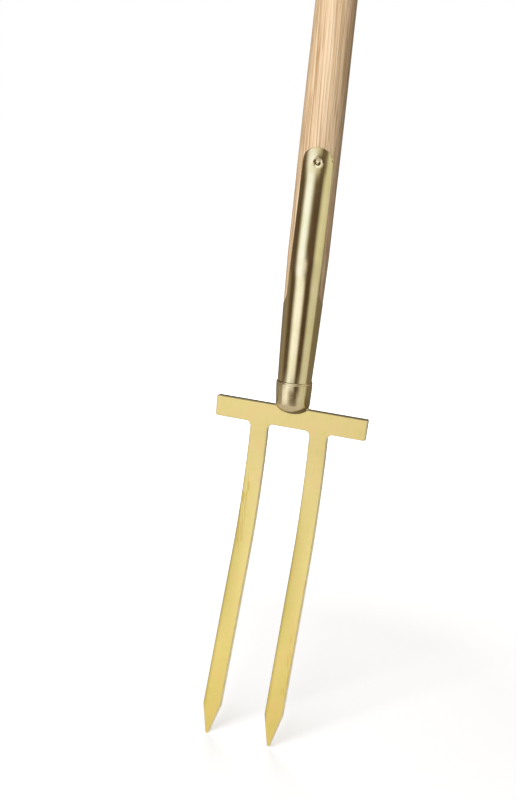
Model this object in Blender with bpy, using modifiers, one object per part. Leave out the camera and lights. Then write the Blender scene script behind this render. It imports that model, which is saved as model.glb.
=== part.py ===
"""A two-tined border fork with a rolled bronze socket and an ash T-handle.

Metres, +Z up the handle, the front of the fork towards -Y. The origin is the middle of the cross
plate's lower edge, between the tines, on the handle's axis.
"""

import math

import bmesh
import bpy
from mathutils import Matrix, Vector

# Room between pieces that touch
GAP = 0.0003

# Cross plate and tines, cut in one piece from bronze plate
PLATE_WIDTH = 0.142
PLATE_HEIGHT = 0.0196
PLATE_THICKNESS = 0.005
EDGE_ROUND = 0.0009
TINE_WIDTH = 0.0162
TINE_CLEARANCE = 0.040
TINE_SPLAY = math.radians(0.23)
TINE_LENGTH = 0.2875
POINT_LENGTH = 0.031
TIP_WIDTH = 0.0026
ROOT_RADIUS = 0.0045

# The tines run straight down, sweep forward on an arc, and run straight again
SWEEP_START = 0.0134
SWEEP_RUN = 0.114
SWEEP_ANGLE = math.radians(14.0)

# Tongue of the plate inside the collar, and the shallow seat that the collar stands in
TONGUE_WIDTH = 0.018
TONGUE_HEIGHT = 0.012
SEAT_DEPTH = 0.0012

# Cast collar: a barrel with a domed foot, and a spigot up into the socket
COLLAR_RADIUS = 0.01575
COLLAR_SWELL = 0.0003
COLLAR_HEIGHT = 0.0233
COLLAR_LIP = 0.0006
DOME_START = 0.001
DOME_DROP = 0.0052
SPIGOT_HEIGHT = 0.014

# Braze fillet at each side of the collar
BRAZE_WIDTH = 0.0024
BRAZE_HEIGHT = 0.0024
BRAZE_DEPTH = 0.0034

# Rolled socket: a tapered tube that opens into a strap at the front and one at the back
SHEET = 0.0014
SOCKET_FOOT_RADIUS = 0.0153
SOCKET_SWELL = 0.00018
SOCKET_TURN = math.radians(14.0)
SHOULDER_HEIGHT = 0.094
NOTCH_RISE = 0.0085
TAPER_HEIGHT = 0.135
STRAP_HEIGHT = 0.2283
STRAP_FOOT_WIDTH = 0.0264
STRAP_WIDTH = 0.0256
ARCH_RISE = 0.0113
STRAP_PROUD = 0.0002

# Rivet through both straps, this far under their tops, each head in a dished seat
RIVET_DROP = 0.0135
RIVET_SHANK = 0.0042
RIVET_HEAD = 0.0052
RIVET_DOME = 0.0016
DISH_WIDTH = 0.0096
DISH_FLOOR = 0.0062
DISH_DEPTH = 0.0011

# Ash shaft and T-grip
SHAFT_WIDTH = 0.0363
SHAFT_TOE = 0.003
GRIP_CENTRE = 0.803
GRIP_LENGTH = 0.128
GRIP_WIDTH = 0.034
GRIP_END_WIDTH = 0.029
GRIP_END_ROUND = 0.009
TENON_WIDTH = 0.022
SHOULDER_SINK = 0.0055

# Wedge in the tenon's end and the pin across it
WEDGE_DEPTH = 0.016
WEDGE_TOP = 0.0032
WEDGE_TOE = 0.0012
PIN_WIDTH = 0.005
PIN_DROP = 0.0065

# Facets of a full turn, of a small one, of the tines' sweep and of rounded outlines. The full turn
# has a facet, and no corner, on the middle line of each strap.
FINE_TURN = 46
SMALL_TURN = 24
SWEEP_STEPS = 12
CORNER_STEPS = 6
ARCH_STEPS = 12
DOME_STEPS = 8
LIP_STEPS = 3
BULGE_STEPS = 4
TAPER_STEPS = 6

# Heights measured from the treads, which are the plate's top edge
TREAD = PLATE_HEIGHT
COLLAR_TOP = TREAD + COLLAR_HEIGHT
COLLAR_FOOT = TREAD - DOME_DROP
SEAT = TREAD - SEAT_DEPTH
SEAT_REACH = COLLAR_RADIUS + COLLAR_SWELL + BRAZE_WIDTH + 2 * GAP
SHAFT_RADIUS = SHAFT_WIDTH / 2
SOCKET_FOOT = COLLAR_TOP + GAP
SHOULDER = TREAD + SHOULDER_HEIGHT
TAPER = TREAD + TAPER_HEIGHT
STRAP_TOP = TREAD + STRAP_HEIGHT
ARCH_FOOT = STRAP_TOP - ARCH_RISE
RIVET_Z = STRAP_TOP - RIVET_DROP
SPIGOT_TOP = COLLAR_TOP + SPIGOT_HEIGHT
GRIP_Z = TREAD + GRIP_CENTRE
GRIP_RADIUS = GRIP_WIDTH / 2
GRIP_TOP = GRIP_Z + GRIP_RADIUS
GRIP_SEAT = GRIP_Z - GRIP_RADIUS + SHOULDER_SINK
PIN_Z = GRIP_Z - PIN_DROP
RIVET_CREST = SHAFT_RADIUS + STRAP_PROUD
DISH_BOTTOM = RIVET_CREST - DISH_DEPTH

# A cutter reaches this far past what it cuts, and is this deep where it goes right through
PAST = 0.004
THROUGH = 0.08


def clear_scene():
    """Removes what a new file holds."""
    for thing in list(bpy.data.objects):
        bpy.data.objects.remove(thing, do_unlink=True)


def new_collection(name):
    """A collection under the scene's own."""
    collection = bpy.data.collections.new(name)
    bpy.context.scene.collection.children.link(collection)
    return collection


def new_material(name, colour, roughness, metallic):
    """A Principled material."""
    material = bpy.data.materials.new(name)
    material.use_nodes = True
    shader = material.node_tree.nodes["Principled BSDF"]
    shader.inputs["Base Color"].default_value = (*colour, 1.0)
    shader.inputs["Roughness"].default_value = roughness
    shader.inputs["Metallic"].default_value = metallic
    return material


def new_object(name, mesh, parent=None, smooth_angle=35.0):
    """An object in the fork's collection, or in the cutters' where its name says so."""
    item = bpy.data.objects.new(name, mesh)
    if name.startswith("cut_"):
        cutters.objects.link(item)
        item.hide_render = True
        item.display_type = "WIRE"
    else:
        fork.objects.link(item)
    item.parent = parent
    mesh.shade_smooth()
    mesh.set_sharp_from_angle(angle=math.radians(smooth_angle))
    return item


def new_frame(name, turn):
    """A frame turned about the handle's axis."""
    frame = bpy.data.objects.new(name, None)
    frame.rotation_euler = (0, 0, turn)
    fork.objects.link(frame)
    return frame


def mesh_from(shape, name):
    """The finished mesh of a bmesh."""
    bmesh.ops.recalc_face_normals(shape, faces=shape.faces)
    mesh = bpy.data.meshes.new(name)
    shape.to_mesh(mesh)
    shape.free()
    return mesh


def turned(name, profile, parent=None, facets=FINE_TURN, closed=False):
    """A turned piece: its profile of radius and height, from the top down, goes round the axis."""
    shape = bmesh.new()
    knots = [shape.verts.new((radius, 0, height)) for radius, height in profile]
    for first, second in zip(knots, knots[1:]):
        shape.edges.new((first, second))
    if closed:
        shape.edges.new((knots[-1], knots[0]))
    mesh = bpy.data.meshes.new(name)
    shape.to_mesh(mesh)
    shape.free()
    item = new_object(name, mesh, parent)
    screw = item.modifiers.new("turn", "SCREW")
    screw.steps = facets
    screw.render_steps = facets
    screw.use_merge_vertices = True
    screw.merge_threshold = 0.00001
    screw.use_smooth_shade = True
    return item


def outlined(name, outline, thickness, parent=None):
    """A flat outline in X and Z, made solid along Y, with one face at its front and one behind."""
    curve = bpy.data.curves.new(name, "CURVE")
    curve.dimensions = "2D"
    curve.fill_mode = "BOTH"
    curve.extrude = thickness / 2
    spline = curve.splines.new("POLY")
    spline.points.add(len(outline) - 1)
    for knot, (x, z) in zip(spline.points, outline):
        knot.co = (x, z, 0, 1)
    spline.use_cyclic_u = True
    drawn = bpy.data.objects.new(name, curve)
    fork.objects.link(drawn)
    view = bpy.context.evaluated_depsgraph_get()
    flat = bpy.data.meshes.new_from_object(drawn.evaluated_get(view))
    bpy.data.objects.remove(drawn)
    shape = bmesh.new()
    shape.from_mesh(flat)
    bpy.data.meshes.remove(flat)
    bmesh.ops.remove_doubles(shape, verts=shape.verts, dist=0.000001)
    for side in (-1, 1):
        cap = [face for face in shape.faces if all(side * knot.co.z > 0 for knot in face.verts)]
        bmesh.ops.dissolve_faces(shape, faces=cap)
    bmesh.ops.rotate(shape, verts=shape.verts, matrix=Matrix.Rotation(math.radians(90), 3, "X"))
    return new_object(name, mesh_from(shape, name), parent)


def box(name, low, high):
    """A block between two corners."""
    low = Vector(low)
    high = Vector(high)
    shape = bmesh.new()
    bmesh.ops.create_cube(shape, size=1.0)
    bmesh.ops.scale(shape, verts=shape.verts, vec=high - low)
    bmesh.ops.translate(shape, verts=shape.verts, vec=(low + high) / 2)
    return new_object(name, mesh_from(shape, name))


def cone_along_y(name, low, high, height, parent=None):
    """A round bar or cone from one pair of Y and radius to another, its Y growing."""
    low_y, low_radius = low
    high_y, high_radius = high
    shape = bmesh.new()
    bmesh.ops.create_cone(
        shape,
        cap_ends=True,
        segments=SMALL_TURN,
        radius1=high_radius,
        radius2=low_radius,
        depth=high_y - low_y,
    )
    quarter = Matrix.Rotation(math.radians(90), 3, "X")
    bmesh.ops.rotate(shape, verts=shape.verts, matrix=quarter)
    bmesh.ops.translate(shape, verts=shape.verts, vec=(0, (low_y + high_y) / 2, height))
    return new_object(name, mesh_from(shape, name), parent)


def drill(name, width, height, parent=None):
    """A cutter for a hole from front to back, with room round a pin of this width."""
    radius = width / 2 + GAP
    return cone_along_y(name, (-THROUGH, radius), (THROUGH, radius), height, parent)


def combine(item, other, operation="DIFFERENCE"):
    """Cuts, joins or keeps what two solids share."""
    step = item.modifiers.new(operation.lower(), "BOOLEAN")
    step.operation = operation
    step.object = other
    step.solver = "EXACT"


def arc(centre, radius, start, end, steps):
    """Points along a circle's arc, from one angle to another in degrees."""
    angles = [math.radians(start + (end - start) * i / steps) for i in range(steps + 1)]
    return [(centre[0] + radius * math.cos(a), centre[1] + radius * math.sin(a)) for a in angles]


def fillet(before, corner, after, radius):
    """Points that round a corner between two straight edges."""
    corner = Vector(corner)
    back = (Vector(before) - corner).normalized()
    ahead = (Vector(after) - corner).normalized()
    half = back.angle(ahead) / 2
    centre = corner + (back + ahead).normalized() * (radius / math.sin(half))
    first = corner + back * (radius / math.tan(half))
    last = corner + ahead * (radius / math.tan(half))
    points = []
    for i in range(CORNER_STEPS + 1):
        spoke = (first.lerp(last, i / CORNER_STEPS) - centre).normalized()
        points.append(tuple(centre + spoke * radius))
    return points


def tine_outline(side):
    """One tine's outline from its outer root to its inner one, with both root fillets."""
    lean = Vector((side * math.sin(TINE_SPLAY), -math.cos(TINE_SPLAY)))
    middle = Vector((side * (TINE_CLEARANCE + TINE_WIDTH) / 2, 0.0))
    across = Vector((side * TINE_WIDTH / 2, 0.0))
    blunt = Vector((side * TIP_WIDTH / 2, 0.0))
    shoulder = middle + lean * (TINE_LENGTH - POINT_LENGTH)
    tip = middle + lean * TINE_LENGTH
    outer_root = middle + across
    inner_root = middle - across
    outer = fillet((side * PLATE_WIDTH / 2, 0), outer_root, shoulder + across, ROOT_RADIUS)
    inner = fillet(shoulder - across, inner_root, (0, 0), ROOT_RADIUS)
    point = [shoulder + across, tip + blunt, tip - blunt, shoulder - across]
    return outer + [tuple(knot) for knot in point] + inner


def head_outline():
    """The whole flat head, clockwise from the tongue's top."""
    right_top = [
        (TONGUE_WIDTH / 2, TREAD + TONGUE_HEIGHT),
        (TONGUE_WIDTH / 2, SEAT),
        (SEAT_REACH, SEAT),
        (SEAT_REACH, TREAD),
        (PLATE_WIDTH / 2, TREAD),
        (PLATE_WIDTH / 2, 0.0),
    ]
    left_top = [(-x, z) for x, z in reversed(right_top)]
    left_tine = list(reversed(tine_outline(-1)))
    return right_top + tine_outline(1) + left_tine + left_top


def swept(flat):
    """Moves a point of the flat head forward onto the tines' sweep."""
    below = -flat.z - SWEEP_START
    if below <= 0:
        return flat
    radius = SWEEP_RUN / SWEEP_ANGLE
    pitch = min(below / radius, SWEEP_ANGLE)
    straight = max(below - SWEEP_RUN, 0.0)
    forward = radius * (1 - math.cos(pitch)) + straight * math.sin(pitch)
    down = radius * math.sin(pitch) + straight * math.cos(pitch)
    middle = Vector((flat.x, -forward, -SWEEP_START - down))
    return middle + flat.y * Vector((0, math.cos(pitch), -math.sin(pitch)))


def under_collar(knot):
    """Whether a point of the head belongs to the tongue or to the collar's seat."""
    return knot.co.z > SEAT - GAP and abs(knot.co.x) < SEAT_REACH + GAP


def mark_eased_edges(shape):
    """Gives the bevel its edges: every corner of the head but those of the seat and tongue."""
    weight = shape.edges.layers.float.new("bevel_weight_edge")
    for edge in shape.edges:
        sharp = edge.calc_face_angle(0) > math.radians(40)
        hidden = all(under_collar(knot) for knot in edge.verts)
        edge[weight] = 1.0 if sharp and not hidden else 0.0


def make_fork_head():
    """Cross plate, tongue and both tines, swept forward and with eased edges."""
    head = outlined("fork_head", head_outline(), PLATE_THICKNESS)
    shape = bmesh.new()
    shape.from_mesh(head.data)
    for i in range(SWEEP_STEPS + 1):
        station = -SWEEP_START - SWEEP_RUN * i / SWEEP_STEPS
        everything = shape.verts[:] + shape.edges[:] + shape.faces[:]
        bmesh.ops.bisect_plane(shape, geom=everything, plane_co=(0, 0, station), plane_no=(0, 0, 1))
    for knot in shape.verts:
        knot.co = swept(knot.co)
    mark_eased_edges(shape)
    shape.to_mesh(head.data)
    shape.free()
    head.data.shade_smooth()
    ease = head.modifiers.new("eased edges", "BEVEL")
    ease.width = EDGE_ROUND
    ease.segments = 2
    ease.limit_method = "WEIGHT"
    head.data.materials.append(plate_bronze)
    return head


def dome_radius(z):
    """The collar's radius at a height on its domed foot."""
    start = TREAD + DOME_START
    share = (start - z) / (start - COLLAR_FOOT)
    return COLLAR_RADIUS * math.sqrt(max(1 - share * share, 0.0))


def make_collar():
    """Domed collar with its spigot, slotted over the plate and its tongue."""
    spigot_foot = socket_outer(SOCKET_FOOT) - SHEET - GAP
    spigot_head = socket_outer(SPIGOT_TOP) - SHEET - GAP
    dome_start = TREAD + DOME_START
    barrel = COLLAR_TOP - COLLAR_LIP - dome_start
    profile = [(0, SPIGOT_TOP), (spigot_head, SPIGOT_TOP), (spigot_foot, COLLAR_TOP)]
    lip = (COLLAR_RADIUS - COLLAR_LIP, COLLAR_TOP - COLLAR_LIP)
    profile += arc(lip, COLLAR_LIP, 90, 0, LIP_STEPS)
    for i in range(1, BULGE_STEPS + 1):
        share = i / BULGE_STEPS
        bulge = COLLAR_SWELL * math.sin(math.pi * share)
        profile.append((COLLAR_RADIUS + bulge, COLLAR_TOP - COLLAR_LIP - barrel * share))
    for i in range(1, DOME_STEPS):
        lift = math.sin(math.radians(90 * i / DOME_STEPS))
        z = dome_start - (dome_start - COLLAR_FOOT) * lift
        profile.append((dome_radius(z), z))
    profile.append((0, COLLAR_FOOT))
    collar = turned("collar", profile)
    wide = COLLAR_RADIUS + PAST
    deep = PLATE_THICKNESS / 2 + GAP
    slot = box("cut_collar_slot", (-wide, -deep, COLLAR_FOOT - PAST), (wide, deep, SEAT + GAP))
    half = TONGUE_WIDTH / 2 + GAP
    pocket_top = TREAD + TONGUE_HEIGHT + GAP
    pocket = box("cut_tongue_pocket", (-half, -deep, SEAT - PAST), (half, deep, pocket_top))
    combine(collar, slot)
    combine(collar, pocket)
    collar.data.materials.append(cast_bronze)
    return collar


def make_braze(name, side):
    """A small concave fillet of braze in the corner between the collar and a tread."""
    inner = COLLAR_RADIUS + COLLAR_SWELL + GAP
    outer = inner + BRAZE_WIDTH
    foot = SEAT + GAP
    top = foot + BRAZE_HEIGHT
    toe = SEAT_DEPTH
    hollow = []
    for i in range(CORNER_STEPS + 1):
        turn = math.radians(90 * i / CORNER_STEPS)
        x = outer - (BRAZE_WIDTH - toe) * math.sin(turn)
        z = top - (BRAZE_HEIGHT - toe) * math.cos(turn)
        hollow.append((x, z))
    outline = [(inner, foot), (outer, foot)] + hollow + [(inner, top)]
    braze = outlined(name, [(side * x, z) for x, z in outline], BRAZE_DEPTH)
    braze.data.materials.append(braze_metal)
    return braze


def socket_outer(z):
    """The socket's outer radius at a height: tapered at the foot, then straight with the shaft."""
    crest = SHAFT_RADIUS + STRAP_PROUD
    share = min(max((z - SOCKET_FOOT) / (TAPER - SOCKET_FOOT), 0.0), 1.0)
    swell = SOCKET_SWELL * math.sin(math.pi * share)
    return SOCKET_FOOT_RADIUS + (crest - SOCKET_FOOT_RADIUS) * share + swell


def socket_keep(margin):
    """The socket seen from its front: tube, shoulders, straps and arched top, grown by a margin."""
    wide = SHAFT_RADIUS + PAST
    foot = STRAP_FOOT_WIDTH / 2 + margin
    head = STRAP_WIDTH / 2 + margin
    slope = NOTCH_RISE / (SHAFT_RADIUS - STRAP_FOOT_WIDTH / 2)
    lift = margin * math.hypot(1, slope)
    notch_top = SHOULDER + NOTCH_RISE + lift
    side_z = notch_top - slope * (wide - STRAP_FOOT_WIDTH / 2)
    right = [(wide, SOCKET_FOOT - PAST), (wide, side_z), (foot, notch_top - slope * margin)]
    for i in range(ARCH_STEPS + 1):
        turn = math.radians(90 * i / (ARCH_STEPS + 0.5))
        right.append((head * math.cos(turn), ARCH_FOOT + (ARCH_RISE + margin) * math.sin(turn)))
    left = [(-x, z) for x, z in reversed(right)]
    return right + left


def socket_tube(name, frame, inner_room, outer_room, foot_room):
    """The rolled tube before its sides are cut, grown inwards, outwards and at its foot."""
    low = SOCKET_FOOT - foot_room
    high = STRAP_TOP + PAST
    levels = [high, TAPER, SOCKET_FOOT]
    levels += [SOCKET_FOOT + (TAPER - SOCKET_FOOT) * i / TAPER_STEPS for i in range(1, TAPER_STEPS)]
    levels = sorted({min(z, high) for z in levels} | {low}, reverse=True)
    outside = [(socket_outer(z) + outer_room, z) for z in levels]
    inside = [(socket_outer(z) - SHEET - inner_room, z) for z in reversed(levels)]
    return turned(name, outside + inside, frame, closed=True)


def faced(name, inner, outer, side, parent):
    """A cone about the rivet's axis, from an inner depth and radius to an outer one, at one side."""
    ends = [(side * depth, radius) for depth, radius in (inner, outer)]
    low, high = sorted(ends)
    return cone_along_y(name, low, high, RIVET_Z, parent)


def rivet_boss(mark, frame, side, room):
    """The sheet pressed inwards under a rivet's head, grown by a margin."""
    floor = DISH_BOTTOM - SHEET - room
    skin = RIVET_CREST - SHEET + SHEET / 4
    inner = (floor, DISH_FLOOR / 2 + SHEET / 2 + room)
    outer = (skin, DISH_WIDTH / 2 + SHEET / 2 + room)
    return faced(f"cut_{mark}_boss", inner, outer, side, frame)


def rivet_dish(mark, frame, side):
    """The dish that a rivet's head sits in."""
    rim = RIVET_CREST - math.sqrt(RIVET_CREST**2 - (DISH_WIDTH / 2) ** 2)
    flare = (DISH_WIDTH - DISH_FLOOR) / 2 / (DISH_DEPTH - rim / 2)
    reach = RIVET_CREST + PAST
    inner = (DISH_BOTTOM, DISH_FLOOR / 2)
    outer = (reach, DISH_FLOOR / 2 + flare * (reach - DISH_BOTTOM))
    return faced(f"cut_{mark}_dish", inner, outer, side, frame)


def make_socket(frame):
    """Rolled socket: tube, two straps and the dished rivet seats."""
    socket = socket_tube("socket", frame, 0.0, 0.0, 0.0)
    keep = outlined("cut_socket_keep", socket_keep(0.0), THROUGH, frame)
    combine(socket, keep, "INTERSECT")
    for mark, side in (("front", -1), ("back", 1)):
        combine(socket, rivet_boss(mark, frame, side, 0.0), "UNION")
        combine(socket, rivet_dish(mark, frame, side))
    combine(socket, drill("cut_socket_hole", RIVET_SHANK, RIVET_Z, frame))
    socket.data.materials.append(rolled_bronze)
    return socket


def make_rivet(frame):
    """Rivet through both straps and the shaft, with a domed head at each end."""
    seat = DISH_BOTTOM + GAP
    upper = []
    for i in range(CORNER_STEPS + 1):
        turn = math.radians(90 * i / CORNER_STEPS)
        upper.append((RIVET_HEAD / 2 * math.sin(turn), seat + RIVET_DOME * math.cos(turn)))
    upper.append((RIVET_SHANK / 2, seat))
    lower = [(radius, -height) for radius, height in reversed(upper)]
    rivet = turned("rivet", upper + lower, frame, SMALL_TURN)
    rivet.location = (0, 0, RIVET_Z)
    rivet.rotation_euler = (math.radians(90), 0, 0)
    rivet.data.materials.append(rolled_bronze)
    return rivet


def grip_profile():
    """The T-grip's barrel, from one domed end to the other."""
    half = GRIP_LENGTH / 2
    straight = half - GRIP_END_ROUND
    end = GRIP_END_WIDTH / 2
    upper = [(0, half)]
    for i in range(CORNER_STEPS):
        turn = math.radians(90 * i / CORNER_STEPS)
        radius = end - GRIP_END_ROUND * (1 - math.sin(turn))
        upper.append((radius, straight + GRIP_END_ROUND * math.cos(turn)))
    for i in range(CORNER_STEPS + 1):
        share = 1 - i / CORNER_STEPS
        upper.append((end + (GRIP_RADIUS - end) * (1 - share**2), straight * share))
    return upper + [(radius, -z) for radius, z in reversed(upper[:-1])]


def grip_bar(name):
    """The plain bar of the grip, lying along X."""
    bar = turned(name, grip_profile())
    bar.location = (0, 0, GRIP_Z)
    bar.rotation_euler = (0, math.radians(90), 0)
    return bar


def make_grip():
    """T-grip, bored for the tenon, spot-faced for the shaft's shoulder and drilled for the pin."""
    grip = grip_bar("grip")
    narrow = TENON_WIDTH / 2 + GAP
    wide = SHAFT_RADIUS + GAP
    above = GRIP_TOP + PAST
    below = GRIP_Z - GRIP_RADIUS - PAST
    bore = [(0, above), (narrow, above), (narrow, GRIP_SEAT)]
    face = [(wide, GRIP_SEAT), (wide, below), (0, below)]
    combine(grip, turned("cut_grip_bore", bore + face))
    combine(grip, drill("cut_grip_drill", PIN_WIDTH, PIN_Z))
    grip.data.materials.append(ash)
    return grip


def wedge_outline(room, above):
    """The wedge seen from the front, point down, grown by a margin and carried above the grip."""
    low = GRIP_TOP - WEDGE_DEPTH - room
    high = GRIP_TOP + above
    top = WEDGE_TOP / 2 + room
    toe = WEDGE_TOE / 2 + room
    return [(-top, high), (top, high), (toe, low), (-toe, low)]


def make_shaft(frame):
    """Ash shaft: let in for the socket at its foot, and tenoned through the grip at its head."""
    above = GRIP_TOP + PAST
    shoulder = GRIP_SEAT - GAP
    foot = SPIGOT_TOP + SHAFT_TOE
    tenon = TENON_WIDTH / 2
    profile = [(0, above), (tenon, above), (tenon, shoulder), (SHAFT_RADIUS, shoulder)]
    for i in range(LIP_STEPS + 1):
        z = TAPER - (TAPER - SHOULDER) * i / LIP_STEPS
        profile.append((socket_outer(z) - STRAP_PROUD, z))
    profile += [(socket_outer(foot), foot), (0, foot)]
    shaft = turned("shaft", profile)
    reach = SHAFT_WIDTH
    crown = box("cut_crown", (-reach, -reach, GRIP_Z), (reach, reach, above + PAST))
    combine(crown, grip_bar("cut_crown_bar"))
    combine(shaft, crown)
    let_in = socket_tube("cut_let_in", frame, GAP, PAST, PAST)
    combine(let_in, outlined("cut_let_in_keep", socket_keep(GAP), THROUGH, frame), "INTERSECT")
    combine(shaft, let_in)
    for mark, side in (("front_seat", -1), ("back_seat", 1)):
        combine(shaft, rivet_boss(mark, frame, side, GAP))
    combine(shaft, drill("cut_rivet_hole", RIVET_SHANK, RIVET_Z, frame))
    combine(shaft, drill("cut_pin_hole", PIN_WIDTH, PIN_Z))
    combine(shaft, outlined("cut_kerf", wedge_outline(GAP, PAST), THROUGH))
    shaft.data.materials.append(ash)
    return shaft


def make_wedge():
    """Hardwood wedge in the tenon's end, trimmed to the grip's round top and the bore."""
    wedge = outlined("grip_wedge", wedge_outline(0.0, 0.0), THROUGH)
    tenon = TENON_WIDTH / 2
    high = GRIP_TOP + PAST
    low = GRIP_Z - PAST
    keep = turned("cut_wedge_round", [(0, high), (tenon, high), (tenon, low), (0, low)])
    combine(wedge, keep, "INTERSECT")
    combine(wedge, grip_bar("cut_wedge_bar"), "INTERSECT")
    wedge.data.materials.append(wedge_wood)
    return wedge


def make_pin():
    """Pin across the grip and the tenon, its slightly domed ends level with the wood."""
    crown = PIN_WIDTH / 10
    end = math.sqrt(GRIP_RADIUS**2 - PIN_DROP**2) - crown
    upper = []
    for i in range(LIP_STEPS + 1):
        turn = math.radians(90 * i / LIP_STEPS)
        upper.append((PIN_WIDTH / 2 * math.sin(turn), end + crown * math.cos(turn)))
    pin = turned("grip_pin", upper + [(radius, -z) for radius, z in reversed(upper)], facets=SMALL_TURN)
    pin.location = (0, 0, PIN_Z)
    pin.rotation_euler = (math.radians(90), 0, 0)
    pin.data.materials.append(pin_metal)
    return pin


clear_scene()
fork = new_collection("border_fork")
cutters = new_collection("cutters")

plate_bronze = new_material("ground bronze plate", (0.80, 0.66, 0.28), 0.45, 1.0)
cast_bronze = new_material("cast bronze", (0.52, 0.42, 0.26), 0.25, 1.0)
rolled_bronze = new_material("polished bronze sheet", (0.62, 0.52, 0.29), 0.15, 1.0)
braze_metal = new_material("braze", (0.78, 0.66, 0.36), 0.4, 1.0)
pin_metal = new_material("bronze pin", (0.62, 0.52, 0.29), 0.3, 1.0)
ash = new_material("oiled ash", (0.80, 0.60, 0.40), 0.5, 0.0)
wedge_wood = new_material("beech wedge", (0.60, 0.38, 0.22), 0.55, 0.0)

make_fork_head()
make_collar()
make_braze("braze_left", -1)
make_braze("braze_right", 1)
socket_frame = new_frame("socket_frame", SOCKET_TURN)
make_socket(socket_frame)
make_rivet(socket_frame)
make_shaft(socket_frame)
make_grip()
make_wedge()
make_pin()
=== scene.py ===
"""Dresses a packed border fork: bronze head and collar, rolled bronze socket, ash shaft and T-grip.

Lengths are metres in the fork's own frame: +Z up the handle, the front of the fork towards -Y, the
origin in the middle of the cross plate's lower edge. Each piece is built here at full smoothness
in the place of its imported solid, and dressed in a finish named for the real material.
"""

import logging
import math
from collections.abc import Iterable, Sequence
from dataclasses import dataclass
from enum import Enum
from functools import cached_property

import bmesh
import bpy
from mathutils import Matrix, Vector


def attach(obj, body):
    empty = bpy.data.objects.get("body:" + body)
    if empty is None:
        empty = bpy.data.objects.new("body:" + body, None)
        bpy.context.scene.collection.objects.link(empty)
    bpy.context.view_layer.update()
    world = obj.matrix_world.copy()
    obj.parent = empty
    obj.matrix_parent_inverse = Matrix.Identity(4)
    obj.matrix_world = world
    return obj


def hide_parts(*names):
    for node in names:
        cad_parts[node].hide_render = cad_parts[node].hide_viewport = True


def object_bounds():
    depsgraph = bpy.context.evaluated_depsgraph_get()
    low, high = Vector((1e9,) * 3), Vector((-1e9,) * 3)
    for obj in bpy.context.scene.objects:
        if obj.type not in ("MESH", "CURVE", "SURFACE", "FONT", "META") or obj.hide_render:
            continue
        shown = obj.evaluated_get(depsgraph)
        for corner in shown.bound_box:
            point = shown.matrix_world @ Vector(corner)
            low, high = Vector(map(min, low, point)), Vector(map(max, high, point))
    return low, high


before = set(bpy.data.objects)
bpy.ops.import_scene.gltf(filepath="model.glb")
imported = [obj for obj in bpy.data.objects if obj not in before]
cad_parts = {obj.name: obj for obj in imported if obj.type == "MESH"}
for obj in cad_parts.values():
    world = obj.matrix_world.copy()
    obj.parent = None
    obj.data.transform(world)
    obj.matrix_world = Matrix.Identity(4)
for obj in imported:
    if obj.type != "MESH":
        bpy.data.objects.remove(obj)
CAD_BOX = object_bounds()

MM = 0.001
TREAD = 19.6 * MM
PLATE_THICKNESS = 5.0 * MM
RIVET_TURN = math.radians(15.4)
RIVET_Z = TREAD + 215.3 * MM
FLOOR_Z = CAD_BOX[0][2] - 0.3 * MM
CREASE = 32.0
SLACK = 0.01 * MM

log = logging.getLogger("border_fork")

Colour = tuple[float, float, float, float]
Tones = tuple[tuple[float, str], ...]
Pair = tuple[float, float]
Triple = tuple[float, float, float]
Profile = list[Pair]
Tree = bpy.types.NodeTree
Link = bpy.types.NodeSocket
Material = bpy.types.Material
Piece = bpy.types.Object
Solid = bmesh.types.BMesh
Knot = bmesh.types.BMVert


class Slot(Enum):
    """The record's material slots."""

    PLATE = "ground_bronze_plate"
    CAST = "cast_bronze"
    SHEET = "polished_bronze_sheet"
    BRAZE = "braze"
    PIN = "bronze_pin"
    ASH = "oiled_ash"
    BEECH = "beech_wedge"


class Axis(Enum):
    """The axis of the fork that a turned piece, a tool's lines or a wood grain follows."""

    X = "X"
    Y = "Y"
    Z = "Z"


class Measure(Enum):
    """What tells where a mark lies on a bronze surface."""

    X = "distance to the right"
    HEIGHT = "height"
    ASIDE = "distance to the right of the tine's middle line"
    STROKES = "noise drawn out the way the belt ran"
    FROM_COLLAR = "distance from the middle of the collar's foot, in its half widths"
    FACING = "how far the surface faces right"
    OFF_PLATE = "distance from the middle of the plate's thickness"
    UNDER_DOME = "height, less the rise of the dome's underside"
    FROM_SHADE_RING = "distance from the ring round the rivet's head"
    OVER_RIVET = "height over the rivet's axis"


def linear(code: str) -> Colour:
    """Turns an sRGB hex colour into linear light.

    Args:
        code: Six hex digits after a hash.

    Returns:
        Red, green, blue and an alpha of one.
    """
    parts = [int(code[i : i + 2], 16) / 255 for i in (1, 3, 5)]
    bent = [p / 12.92 if p <= 0.04045 else ((p + 0.055) / 1.055) ** 2.4 for p in parts]
    return (bent[0], bent[1], bent[2], 1.0)


def add(
    tree: Tree,
    kind: str,
    inputs: dict[str | int, object] | Sequence[object] = (),
    stops: Iterable[tuple[float, str]] = (),
    **settings: object,
) -> bpy.types.bpy_prop_collection:
    """Adds a shader node with its settings and links.

    Args:
        tree: The node tree to add to.
        kind: The node's type, without its common prefix.
        inputs: Values, or outputs of other nodes, by the name or number of the input, or in order.
        stops: A colour ramp's positions and sRGB hex colours, in order.
        **settings: Properties of the node.

    Returns:
        The new node's outputs.
    """
    node = tree.nodes.new("ShaderNode" + kind)
    for key, value in settings.items():
        setattr(node, key, value)
    for key, value in (inputs if isinstance(inputs, dict) else dict(enumerate(inputs))).items():
        if isinstance(value, Link):
            tree.links.new(value, node.inputs[key])
        else:
            node.inputs[key].default_value = value
    stops = list(stops)
    while stops and len(node.color_ramp.elements) < len(stops):
        node.color_ramp.elements.new(0.5)
    for i, (place, code) in enumerate(stops):
        node.color_ramp.elements[i].position = place
        node.color_ramp.elements[i].color = linear(code)
    return node.outputs


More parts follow.
